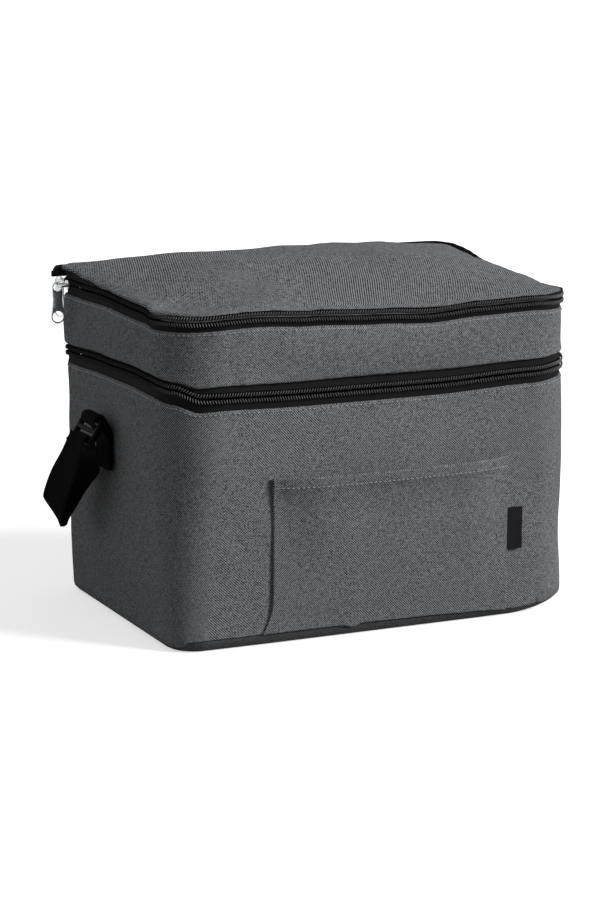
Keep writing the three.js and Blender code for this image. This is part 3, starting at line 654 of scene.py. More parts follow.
def dressed(obj, body, finish, *nodes):
    """Gives a piece its finish, sets it on its body, or leaves it in place where it is given two
    bodies and their ends, and lets it stand for CAD nodes.
    """
    obj.data.materials.clear()
    obj.data.materials.append(finish_of(finish))
    for polygon in obj.data.polygons:
        polygon.material_index = 0
    if isinstance(body, str):
        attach(obj, body)
    else:
        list(body)
        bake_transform(obj)
    SLOTS.get(finish, finish)
    if nodes:
        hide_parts(*nodes)
    return obj


# Nodes


def feed(socket, value):
    """Links a socket to the value if that is a socket too, or else sets it."""
    if isinstance(value, bpy.types.NodeSocket):
        socket.id_data.links.new(value, socket)
    else:
        socket.default_value = value


def added(tree, kind, inputs=(), **settings):
    """A new node with its settings, whose inputs are fed by name or by number."""
    node = tree.nodes.new(kind)
    for key, value in settings.items():
        setattr(node, key, value)
    for key, value in dict(inputs).items():
        feed(node.inputs[key], value)
    return node


def node_group(name, kind, inputs, outputs):
    """A node group with its inputs' and outputs' sockets; each is a label, kind and value."""
    tree = bpy.data.node_groups.new(name, kind)
    for way, rows in (("INPUT", inputs), ("OUTPUT", outputs)):
        for label, of, *value in rows:
            socket = tree.interface.new_socket(label, in_out=way, socket_type="NodeSocket" + of)
            if value:
                socket.default_value = value[0]
    return tree, added(tree, "NodeGroupInput").outputs, added(tree, "NodeGroupOutput").inputs


def rods_tree(name, upright):
    """Rods repeated along a path, for zip teeth and for stitches."""
    tree, given, result = node_group(name, "GeometryNodeTree", [
        ("Path", "Geometry"), ("Pitch", "Float"), ("Along", "Float"), ("Across", "Float"),
        ("Deep", "Float"), ("Turn", "Float"), ("Unevenness", "Float"), ("Seed", "Int"),
        ("Finish", "Material")], [("Rods", "Geometry")])
    node = lambda kind, inputs=(), **settings: added(tree, kind, inputs, **settings).outputs
    curve = node("GeometryNodeMeshToCurve", {"Mesh": given["Path"]})["Curve"]
    curve = node("GeometryNodeSetCurveNormal", {"Curve": curve},
                 mode="Z_UP" if upright else "MINIMUM_TWIST")["Curve"]
    spaced = node("GeometryNodeResampleCurve", {"Curve": curve, "Length": given["Pitch"]},
                  mode="LENGTH")["Curve"]
    ball = node("GeometryNodeMeshUVSphere", {"Segments": 6, "Rings": 5, "Radius": 0.5})["Mesh"]
    size = node("ShaderNodeCombineXYZ", {
        "X": given["Deep"], "Y": given["Across"], "Z": given["Along"]})["Vector"]
    rod = node("GeometryNodeTransform", {"Geometry": ball, "Scale": size})["Geometry"]
    axes = node("FunctionNodeAxesToRotation", {
        "Primary Axis": node("GeometryNodeInputTangent")["Tangent"],
        "Secondary Axis": node("GeometryNodeInputNormal")["Normal"]},
        primary_axis="Z", secondary_axis="X")["Rotation"]
    least = maths("MULTIPLY", given["Unevenness"], -1)
    chance = node("FunctionNodeRandomValue", {
        2: least, 3: given["Unevenness"], "Seed": given["Seed"]}, data_type="FLOAT")[1]
    spin = node("ShaderNodeCombineXYZ", {"X": maths("ADD", given["Turn"], chance)})["Vector"]
    spin = node("FunctionNodeEulerToRotation", {"Euler": spin})["Rotation"]
    turned = node("FunctionNodeRotateRotation", {"Rotation": axes, "Rotate By": spin},
                  rotation_space="LOCAL")["Rotation"]
    repeated = node("GeometryNodeInstanceOnPoints", {
        "Points": spaced, "Instance": rod, "Rotation": turned})["Instances"]
    real = node("GeometryNodeRealizeInstances", {"Geometry": repeated})["Geometry"]
    feed(result["Rods"], node("GeometryNodeSetMaterial", {
        "Geometry": real, "Material": given["Finish"]})["Geometry"])
    return tree


def rods(name, path, upright, finish, **values):
    """Rods along an open path, which the rods tree makes; the result is a plain mesh."""
    label = "Zip Teeth" if upright else "Stitch Row"
    tree = bpy.data.node_groups.get(label) or rods_tree(label, upright)
    mesh = bpy.data.meshes.new(name)
    mesh.from_pydata(path.tolist(), [(k, k + 1) for k in range(len(path) - 1)], [])
    source = placed(name, mesh)
    modifier = source.modifiers.new("Rods", "NODES")
    modifier.node_group = tree
    sockets = {item.name: item.identifier for item in tree.interface.items_tree}
    for key, value in {**values, "Finish": finish_of(finish)}.items():
        modifier[sockets[key]] = value
    obj = plain_copy(source, name)
    obj.data.shade_smooth()
    return obj


def maths(operation, *values, clamp=False):
    """The output of a Math node on sockets and numbers."""
    tree = next(value.id_data for value in values if isinstance(value, bpy.types.NodeSocket))
    inputs = dict(enumerate(values))
    return added(tree, "ShaderNodeMath", inputs, operation=operation, use_clamp=clamp).outputs[0]


def vector_of(x, y, z=0.0):
    return added(x.id_data, "ShaderNodeCombineXYZ", {0: x, 1: y, 2: z}).outputs[0]


def noise(vector, scale, detail=2.0, roughness=0.5):
    return added(vector.id_data, "ShaderNodeTexNoise", {
        "Vector": vector, "Scale": scale, "Detail": detail, "Roughness": roughness}).outputs["Fac"]


def surface_coordinates(tree):
    """The piece's UV map, in metres along the cloth, as two sockets."""
    source = added(tree, "ShaderNodeUVMap", uv_map="UVMap").outputs["UV"]
    return added(tree, "ShaderNodeSeparateXYZ", {0: source}).outputs[:2]


def blended(factor, dark, light):
    """A colour between two, each of which is a socket or three numbers."""
    inputs = {6: dark, 7: light}
    inputs = {key: (*c, 1) if isinstance(c, tuple) else c for key, c in inputs.items()}
    return added(factor.id_data, "ShaderNodeMix", {"Factor": factor, **inputs},
                 data_type="RGBA").outputs[2]


def turns(operation, value):
    """The sine or cosine of a value that counts whole turns."""
    return maths(operation, maths("MULTIPLY", value, 2 * pi))


def heather_weave_group():
    """Two-tone yarns that cross one over one. The crossings line up into diagonals, which
    lean one way or the other from place to place, and every yarn has lighter stretches."""
    tree, given, result = node_group(
        "Heather Weave", "ShaderNodeTree",
        [("Check", "Float", 1.55 * MM), ("Slub", "Float", 4.0 * MM)],
        [("Fleck", "Float"), ("Height", "Float")])
    u, v = surface_coordinates(tree)
    place = vector_of(u, v)
    drift = maths("MULTIPLY_ADD", noise(place, 16.0, 1.0), 2.4 * MM, -1.2 * MM)
    across, along = (maths("DIVIDE", maths("ADD", way, drift), given["Check"]) for way in (u, v))
    rising, falling = (turns("COSINE", maths(way, across, along)) for way in ("SUBTRACT", "ADD"))
    lean = maths("MULTIPLY_ADD", noise(place, 11.0, 1.0), 3.4, -1.2, clamp=True)
    weave = maths("SUBTRACT", maths("MULTIPLY", rising, lean),
                  maths("MULTIPLY", falling, maths("SUBTRACT", 1.0, lean)))
    yarn = maths("MULTIPLY", given["Check"], 0.42)
    fine_u, fine_v, slub_u, slub_v = (
        maths("DIVIDE", way, size) for size in (yarn, given["Slub"]) for way in (u, v))
    warp = noise(vector_of(fine_u, slub_v), 1.0, 1.0, 0.6)
    weft = noise(vector_of(slub_u, fine_v, 7.0), 1.0, 1.0, 0.6)
    speck = noise(vector_of(fine_u, fine_v, 3.0), 1.1, 0.0)
    yarns = maths("ADD", maths("ADD", warp, weft), maths("MULTIPLY", speck, 1.4))
    tone = maths("ADD", maths("MULTIPLY_ADD", yarns, 1.35, -1.795),
                 maths("MULTIPLY", weave, 0.95), clamp=True)
    feed(result["Fleck"], tone)
    feed(result["Height"],
         maths("ADD", maths("MULTIPLY", weave, 0.5), maths("MULTIPLY", yarns, 0.6)))
    return tree


def ribbed_weave_group():
    """Ribs along one way of the cloth crossed by finer threads."""
    tree, given, result = node_group(
        "Ribbed Weave", "ShaderNodeTree",
        [("Rib", "Float", 1.6 * MM), ("Thread", "Float", 0.5 * MM)],
        [("Rise", "Float"), ("Fleck", "Float")])
    u, v = surface_coordinates(tree)
    wave = lambda way, pitch: maths(
        "MULTIPLY_ADD", turns("SINE", maths("DIVIDE", way, given[pitch])), 0.5, 0.5)
    across = wave(v, "Rib")
    along = wave(maths("ADD", u, maths("MULTIPLY", across, 0.12 * MM)), "Thread")
    feed(result["Rise"],
         maths("ADD", maths("MULTIPLY", across, 0.6), maths("MULTIPLY", along, 0.4)))
    feed(result["Fleck"], noise(vector_of(u, v, 3.0), 900.0, 2.0, 0.6))
    return tree


def handling_group():
    """Broad unevenness of a used surface, on the object's own coordinates."""
    tree, given, result = node_group(
        "Handling Marks", "ShaderNodeTree",
        [("Size", "Float", 60.0), ("Fine Size", "Float", 900.0)],
        [("Tone", "Float"), ("Grain", "Float")])
    place = added(tree, "ShaderNodeTexCoord").outputs["Object"]
    for label, size, detail in [("Tone", "Size", 3.0), ("Grain", "Fine Size", 2.0)]:
        enlarged = added(tree, "ShaderNodeVectorMath", operation="SCALE")
        feed(enlarged.inputs[0], place)
        feed(enlarged.inputs["Scale"], given[size])
        feed(result[label], noise(enlarged.outputs[0], 1.0, detail))
    return tree


GROUPS = {"Heather Weave": heather_weave_group, "Ribbed Weave": ribbed_weave_group,
          "Handling Marks": handling_group}


# Finishes


class Finish:
    """A material under construction, with the inputs of its Principled shader."""

    def __init__(self, name, **constants):
        self.material = bpy.data.materials.new(name)
        self.material.use_nodes = True
        self.tree = self.material.node_tree
        self.shader = self.tree.nodes["Principled BSDF"].inputs
        for key, value in constants.items():
            self.shader[key.replace("_", " ")].default_value = value

    def group(self, name, **values):
        """The outputs of a shader group whose inputs have these values."""
        inputs = {key.replace("_", " "): value for key, value in values.items()}
        tree = bpy.data.node_groups.get(name) or GROUPS[name]()
        return added(self.tree, "ShaderNodeGroup", inputs, node_tree=tree).outputs

    def bump(self, height, depth, strength=1.0):
        node = added(self.tree, "ShaderNodeBump", {
            "Distance": depth, "Strength": strength, "Height": height})
        feed(self.shader["Normal"], node.outputs["Normal"])


def scaled(colour, share):
    return tuple(c * share for c in colour)


def cloth_finish(name, colour, contrast):
    made = Finish(name, Roughness=0.95, Specular_IOR_Level=0.03)
    weave, marks = made.group("Heather Weave"), made.group("Handling Marks", Size=22.0)
    dark, light = scaled(colour, 1 - contrast), scaled(colour, 1 + contrast)
    yarns = blended(weave["Fleck"], dark, light)
    faded = blended(weave["Fleck"], scaled(dark, 1.2), scaled(light, 1.07))
    feed(made.shader["Base Color"], blended(marks["Tone"], yarns, faded))
    made.bump(weave["Height"], 0.1 * MM, 0.6)
    return made.material


def ribbed_finish(name, colour, rib, roughness, specular, depth):
    made = Finish(name, Roughness=roughness, Specular_IOR_Level=specular)
    weave = made.group("Ribbed Weave", Rib=rib, Thread=0.32 * rib)
    flecked = blended(weave["Fleck"], scaled(colour, 0.6), scaled(colour, 1.5))
    # The ribs' crowns are painted lighter than the hollows between them, a painted highlight on the
    # crowns.
    feed(made.shader["Base Color"], blended(weave["Rise"], flecked, scaled(colour, 1.3)))
    made.bump(weave["Rise"], depth)
    return made.material


def grained_finish(name, colour, roughness, size, depth, spread, specular=0.5, metallic=0.0):
    """Plastic, metal, film or foam: even colour with a fine grain in its surface."""
    made = Finish(name, Specular_IOR_Level=specular, Metallic=metallic)
    marks = made.group("Handling Marks", Size=60.0, Fine_Size=size)
    feed(made.shader["Base Color"], blended(
        marks["Tone"], scaled(colour, 1 - spread), scaled(colour, 1 + spread)))
    feed(made.shader["Roughness"], maths(
        "MULTIPLY_ADD", marks["Grain"], 0.2, roughness - 0.1, clamp=True))
    made.bump(marks["Grain"], depth)
    return made.material


def tooth_finish(name, colour, side_share):
    """Nylon teeth, whose colour is painted lighter at the front as a painted highlight and darker
    round the sides as painted shade; they are also glossier at the front and dull round the sides.
    """
    made = Finish(name, Specular_IOR_Level=0.12)
    marks = made.group("Handling Marks", Size=60.0, Fine_Size=900.0)
    place = added(made.tree, "ShaderNodeTexCoord").outputs["Object"]
    y = added(made.tree, "ShaderNodeSeparateXYZ", {0: place}).outputs[1]
    reach, side_y = 26 * MM, -62 * MM
    front = maths("MULTIPLY_ADD", y, -1 / reach, side_y / reach, clamp=True)
    # light scales the teeth's colour from 1 at the front, a painted highlight, down to the side
    # share round the sides, painted shade.
    light = maths("MULTIPLY_ADD", front, 1 - side_share, side_share)
    tone = maths("MULTIPLY", light, maths("MULTIPLY_ADD", marks["Tone"], 0.4, 0.8))
    feed(made.shader["Base Color"], blended(tone, (0, 0, 0), colour))
    feed(made.shader["Roughness"], maths("MULTIPLY_ADD", front, -0.45, 0.85))
    made.bump(marks["Grain"], 0.01 * MM)
    return made.material


# Each finish: how it is made, its colour (none where the settings hold it) and its values
FINISHES = {
    "cloth": (cloth_finish, None, 0.85),
    # The base cloth is coloured darker than the cloth, partly as painted shade where it rolls under
    # the bag.
    "base": (cloth_finish, None, 0.6),
    "tape": (ribbed_finish, None, 1.1 * MM, 0.9, 0.04, 0.1 * MM),
    "webbing": (ribbed_finish, None, 1.7 * MM, 0.9, 0.015, 0.25 * MM),
    "label": (ribbed_finish, None, 0.7 * MM, 0.7, 0.08, 0.06 * MM),
    "bed": (grained_finish, (0.004, 0.004, 0.004), 0.8, 900.0, 0.01 * MM, 0.3, 0.0),
    # The teeth's colour is their painted highlight at the front; round the sides a tenth of it
    # stays, as painted shade.
    "tooth": (tooth_finish, (0.16, 0.16, 0.16), 0.1),
    "plastic": (grained_finish, (0.003, 0.003, 0.003), 0.42, 1500.0, 0.01 * MM, 0.3, 0.012),
    "nickel": (grained_finish, (0.5, 0.51, 0.52), 0.24, 700.0, 0.01 * MM, 0.08, 0.5, 1.0),
    "foil": (grained_finish, (0.56, 0.57, 0.59), 0.34, 120.0, 0.5 * MM, 0.12, 0.5, 0.7),
    "thread": (grained_finish, None, 0.6, 2500.0, 0.03 * MM, 0.2),
    "foam": (grained_finish, (0.78, 0.78, 0.74), 0.9, 900.0, 0.1 * MM, 0.06),
}


def finish_of(name):
    """The material of a finish, made when it is first asked for."""
    label = name + "_finish"
    make, colour, *values = FINISHES[name]
    colour = colour or tuple(getattr(bpy.context.scene.cooler_bag_colours, name))
    return bpy.data.materials.get(label) or make(label, colour, *values)


# Settings


def length_property(name, description, default, low, high):
    return FloatProperty(name=name, description=description, default=default * MM, min=low * MM,
                         max=high * MM, subtype="DISTANCE", unit="LENGTH", precision=5)


def colour_property(name, description, default):
    return FloatVectorProperty(name=name, description=description, default=default, size=3,
                               min=0, max=1, subtype="COLOR")


class CoolerBagColours(bpy.types.PropertyGroup):
    """Colours of the bag's cloth and trim."""

    cloth: colour_property("Cloth", "Mean colour of the heather cloth", (0.132, 0.136, 0.140))
    # Darker than the cloth, partly as painted shade of the rolled-under base.
    base: colour_property("Base", "Mean colour of the darker base cloth", (0.092, 0.094, 0.097))
    tape: colour_property("Zip tape", "Colour of the zip tapes", (0.012, 0.012, 0.0125))
    webbing: colour_property("Webbing", "Colour of the side straps", (0.0022, 0.0022, 0.0023))
    label: colour_property("Label", "Colour of the woven label", (0.006, 0.006, 0.007))
    thread: colour_property("Thread", "Colour of the topstitching", (0.27, 0.275, 0.28))


class CoolerBagSizes(bpy.types.PropertyGroup):
    """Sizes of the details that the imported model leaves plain, here in mm."""

    wrinkle: length_property("Wrinkle", "How far the cloth's broad waves stand out", 1.2, 0, 3)
    pucker: length_property("Pucker", "How deep the cloth puckers along its seams", 0.4, 0, 2)
    tooth_pitch: length_property("Tooth pitch", "Distance between zip teeth", 1.75, 1, 4)
    tooth_length: length_property("Tooth length", "Length of a zip tooth", 3.2, 1, 5)
    stitch_pitch: length_property("Stitch pitch", "Distance between stitches", 3.1, 1, 6)
    stitch_width: length_property("Stitch width", "Thickness of the thread", 0.65, 0.2, 1)
    tape_width: length_property("Tape width", "Reach of a zip tape from the teeth", 12, 5, 20)
    seed: IntProperty(name="Seed", description="Seed of everything random", default=7, min=0)


def sizes():
    return bpy.context.scene.cooler_bag_sizes


# Cloth relief. Each takes the way round, the height and the share of the panel's height.


def cloth_relief(offset, tall, low, high, waves=1.0):
    """Broad waves on a panel of the given height, with puckers towards its seams, which
    low and high scale. offset is added to the seed."""
    settings = sizes()
    seed = settings.seed + offset

    def relief(s, z, place):
        broad = field(s, z, 42 * MM, seed) + 0.45 * field(s, z, 19 * MM, seed + 1)
        fine = field(s, z, 6 * MM, seed + 2)
        out = settings.wrinkle * waves * broad * np.sin(pi * np.clip(place, 0.02, 0.98)) ** 0.5
        out = out + 0.12 * settings.pucker * fine
        lines = field(s, 0 * z, 5.5 * MM, seed + 3) + 0.6 * field(s, z, 3.1 * MM, seed + 4)
        for edge, share in ((low, place), (high, 1 - place)):
            out = out + edge * settings.pucker * lines * near(share * tall, 13 * MM)
        return out

    return relief


def back_left(s, reach):
    """1 in the middle of the back left corner, easing to 0 at reach round from it."""
    away = np.mod(s - BACK_ARC / 2 + ROUND / 2, ROUND) - ROUND / 2
    return near(np.abs(away), reach)


def main_face(s, z, place):
    waves = cloth_relief(0, PANEL_HEIGHT, 0.5, 1.0)
    slack = 0.5 + 0.5 * field(s, 0.6 * z, 30 * MM, sizes().seed + 9)
    low = near(np.abs(z - 48 * MM), 44 * MM) * lean_in(s)
    return roll_in(s, z) + waves(s, z, place) + low * slack


def back_face(s, z, place):
    return roll_in(s, z) + cloth_relief(20, PANEL_HEIGHT, 0.5, 0.6)(s, z, place)


def band_face(s, z, place):
    waves = cloth_relief(40, BAND_HEIGHT, 0.8, 1.0, 0.7)
    corner = 2.4 * MM * back_left(s, 24 * MM) * (0.4 + 0.6 * np.sin(pi * place))
    return waves(s, z, place) + corner + 0.6 * MM * near(place * 34 * MM, 9 * MM)


def swollen(amount):
    return lambda s, z, place: amount * np.sin(pi * place)


class CoolerBagOperator(bpy.types.Operator):
    """Common parts of the bag's operators."""

    bl_options = {"REGISTER", "UNDO"}

    def execute(self, context):
        self.make()
        return {"FINISHED"}


class COOLERBAG_OT_main_compartment(CoolerBagOperator):
    """Makes the main compartment: its base, wrap, back panel, foam and lining."""

    bl_idname = "cooler_bag.main_compartment"
    bl_label = "Main Compartment"

    def make(self):
        body = "main_compartment"
        lifted = lambda z: (lambda s: z + rim_lift(s))
        leaning = lambda inset: (lambda s: -inset - lean_in(s))
        rolled = lambda radius, lift: [
            (lifted(lift + radius * (1 - cos(a))), leaning(BASE_ROLL - radius * sin(a)))
            for a in np.radians([0, 18, 36])]
        top = lambda s: np.minimum(GAP + base_edge(s), BASE_ROLL + rim_lift(s))
        tucked = lambda inset: [(top, lambda s: roll_in(s, top(s)) - inset)]
        bottom = lambda z: (lambda x, y, rim, out: z + corner_lift(x, y))
        tray = patch_body(
            "base_tray", rolled(BASE_ROLL - FABRIC, FABRIC) + tucked(FABRIC),
            rolled(BASE_ROLL, 0) + tucked(0.2 * MM), bottom(FABRIC), bottom(0), 70, 48)
        dressed(tray, body, "base", "base_panel")
        inset = -BASE_ROLL - FABRIC
        over = BASE_FLOOR + BOARD
        slab = patch_body("base_board", [(over, inset)], [(lifted(BASE_FLOOR), inset)],
                          level(over), bottom(BASE_FLOOR), 40, 28)
        dressed(slab, body, "foam", "base_foam")
        low = lambda s: base_edge(s) + 0.8 * MM
        wrap = wall("main_wrap", WRAP_START, WRAP_STOP, low, wrap_top, relief=main_face,
                    full=swollen(1.0))
        dressed(wrap, body, "cloth", "main_front_and_sides")
        back = wall("main_back", *BACK_PANEL, low, wrap_top, relief=back_face,
                    full=swollen(1.0), step=3 * MM)
        dressed(back, body, "cloth", "main_back_panel")
        inner_walls("main", body, over + GAP, over + GAP, LOW_ZIP, LOW_LINE)


def inner_walls(prefix, body, floor, foam_floor, zip_height, line):
    """The foam boards of four walls, which meet at the corners, and the lining tub, whose
    rim turns out over them. Both follow the zip's line where it sags."""
    rim = zip_height - TAPE_END - GAP
    below = lambda drop: (lambda s: rim - drop + np.minimum(eased_round(s, line), 0))
    gap = 0.4 * MM
    for k, side in enumerate(["left", "front", "right", "back"]):
        board = wall(
            f"{prefix}_foam_{side}_board", CORNER_MIDDLES[k] + gap, CORNER_MIDDLES[k + 1] - gap,
            level(foam_floor), below(GAP + LINING), face=UNDER_FABRIC - 1.2 * MM,
            relief=lambda s, z, place: roll_in(s, z), inside=UNDER_FABRIC - FOAM,
            step=5 * MM, rise=8 * MM)
        dressed(board, body, "foam", f"{prefix}_foam_{side}")
    inside, reach = WALL_LINING - LINING, TAPE_BACK - GAP
    walls = [floor + share * (rim - floor - 4 * MM) for share in np.linspace(0.02, 1, 12)[1:-1]]
    foot = lambda z, face: [(z, face - 1.5 * MM), (z + 0.4 * MM, face - 0.4 * MM),
                            (z + 1.5 * MM, face), *((height, face) for height in walls)]
    upper = foot(floor + LINING, inside) + [
        (below(1.2 * MM), inside), (below(0), inside), (below(0), reach)]
    lower = foot(floor, WALL_LINING) + [(below(LINING), WALL_LINING), (below(LINING), reach)]
    tub = patch_body(f"{prefix}_lining_tub", upper, lower, level(floor + LINING), level(floor))
    dressed(tub, body, "foil", f"{prefix}_lining")


class COOLERBAG_OT_upper_compartment(CoolerBagOperator):
    """Makes the upper compartment: divider, band, back panel, foam and lining."""

    bl_idname = "cooler_bag.upper_compartment"
    bl_label = "Upper Compartment"

    def make(self):
        body = "upper_compartment"
        low = LOW_ZIP + 1.0 * MM
        board = low + FABRIC + GAP
        for name, finish, z0, z1, node in [
                ("divider_cover", "cloth", low, low + FABRIC, "divider_panel"),
                ("divider_board", "foam", board, board + FOAM, "divider_foam")]:
            made = patch_body(name, [(z1, INNER_EDGE)], [(z0, INNER_EDGE)],
                              level(z1), level(z0), 50, 34)
            dressed(made, body, finish, node)
        band = wall("upper_band", WRAP_START, WRAP_STOP, band_low, band_top, relief=band_face,
                    full=lambda s, z, p: 0.75 * np.sin(pi * p) ** 0.7, rise=1.6 * MM)
        dressed(band, body, "cloth", "upper_front_and_sides")
        back = wall("upper_back", *BACK_PANEL, level(LOW_ZIP + 8.1 * MM),
                    level(TOP_ZIP - 6.2 * MM), relief=cloth_relief(60, BAND_HEIGHT, 0.5, 0.5, 0.5),
                    full=swollen(0.5), step=3 * MM)
        dressed(back, body, "cloth", "upper_back_panel")
        inner_walls("upper", body, board + FOAM + GAP, LOW_ZIP + TAPE_END + GAP, TOP_ZIP, TOP_LINE)


def lid_waves(x, y):
    """Waves of the lid's cloth, with a dip and a crease by its front left corner."""
    settings = sizes()
    seed = settings.seed + 80
    waves = settings.wrinkle * (field(x, y, 46 * MM, seed) + 0.5 * field(x, y, 21 * MM, seed + 1))
    away = np.hypot((x + 112 * MM) / (26 * MM), (y + 70 * MM) / (16 * MM))
    dip = 2.4 * MM * np.exp(-away**2)
    right, back = x + 104 * MM, y + 20 * MM
    across, along = right * 0.86 + back * 0.5, back * 0.86 - right * 0.5
    crease = 0.9 * MM * np.exp(-(across / (5 * MM)) ** 2 - (along / (38 * MM)) ** 2)
    return waves - dip - crease


def lid_face(drop):
    """A face of the lid's soft dome: it starts from its rim and fills up towards the
    middle, where it lies below the cloth's top by the drop."""
    profile = lambda inset: 1 - (1 - np.clip(inset / LID_REACH, 0, 1)) ** 1.6

    def height(x, y, rim, out):
        inset = HALF_W - np.abs(x), HALF_D - np.abs(y)
        dome = LID_CROWN * profile(inset[0]) * profile(inset[1])
        middle = TOP_ZIP + eased(y, LID_MIDDLE) - drop
        waves = lid_waves(x, y) * (1 - near(np.minimum(*inset), 16 * MM))
        return rim * out**3 + middle * (1 - out**3) + dome + waves

    return height


class COOLERBAG_OT_lid(CoolerBagOperator):
    """Makes the lid: its crowned cloth cover, the foam pad and the lining."""

    bl_idname = "cooler_bag.lid"
    bl_label = "Lid"

    def make(self):
        seed = sizes().seed + 85
        ring = lambda lift, offset: (
            lambda s: lid_edge(s) + lift * MM + 0.25 * MM * field(s, 0 * s, 7 * MM, seed),
            lambda s: offset * MM + 3.2 * MM * back_left(s, 30 * MM))
        upper, lower = ([ring(*row) for row in rows] for rows in (
            [(1.9, -2.4), (1.6, -1.3), (1.2, -0.5), (0.7, -0.1), (0.3, 0), (0, -0.2)],
            [(0.9, -2.6), (0.6, -1.9), (0.2, -1.1)]))
        cover = patch_body("lid_cover", upper, lower, lid_face(0), lid_face(FABRIC), 128, 88, 3.0)
        dressed(cover, "lid", "cloth", "lid_panel")
        rim = lambda below: [(lambda s: lid_edge(s) + 3.2 * MM - below, INNER_EDGE)]
        for name, finish, drop, thickness, node in [
                ("lid_pad", "foam", 2.4 * MM, 4.2 * MM, "lid_foam"),
                ("lid_lining_sheet", "foil", 7.0 * MM, LINING, "lid_lining")]:
            low = drop + thickness
            made = patch_body(name, rim(drop), rim(low), lid_face(drop), lid_face(low))
            dressed(made, "lid", finish, node)


def zip_half(name, body, line, side, ends, edge):
    """One half of a zip: its woven tape, the coil's bed and the teeth. side is 1 above
    the mesh; edge is how far the tape goes from it."""
    settings = sizes()
    push = (3.2 if body == "lid" else 1.2) * MM

    def relief(s, z, place):
        away = np.abs(z - line(s))
        bulge = 0.9 * MM * near(away, 9 * MM)
        pushed = push * back_left(s, 24 * MM) * (1 - near(away - 4.2 * MM, 5 * MM))
        return bulge + pushed + 0.12 * MM * field(s, z, 7 * MM, settings.seed + 90)

    span = lambda *ways: [lambda s, way=way: line(s) + side * way(s) for way in ways][::side]
    tape = wall(f"{name}_tape_cloth", *ends, *span(level(TAPE_START), edge), face=UNDER_FABRIC,
                thickness=TAPE, rise=1.2 * MM, relief=relief)
    dressed(tape, body, "tape", f"{name}_tape")
    bed = wall(f"{name}_coil_bed", *ends, *span(level(COIL_START), level(COIL_END)),
               face=-0.4 * MM, thickness=1.0 * MM, rise=0.6 * MM)
    dressed(bed, body, "bed", f"{name}_coil")
    s = np.arange(*ends, 1.0 * MM)
    path = outline(s, line(s) + side * (TOOTH_START + settings.tooth_length / 2), 0.7 * MM)
    teeth = rods(f"{name}_teeth", path, True, "tooth", Pitch=settings.tooth_pitch,
                 Along=TOOTH_WIDTH, Across=settings.tooth_length, Deep=TOOTH_DEPTH,
                 Turn=-TOOTH_LEAN * side, Unevenness=radians(2), Seed=settings.seed)
    dressed(teeth, body, "tooth")


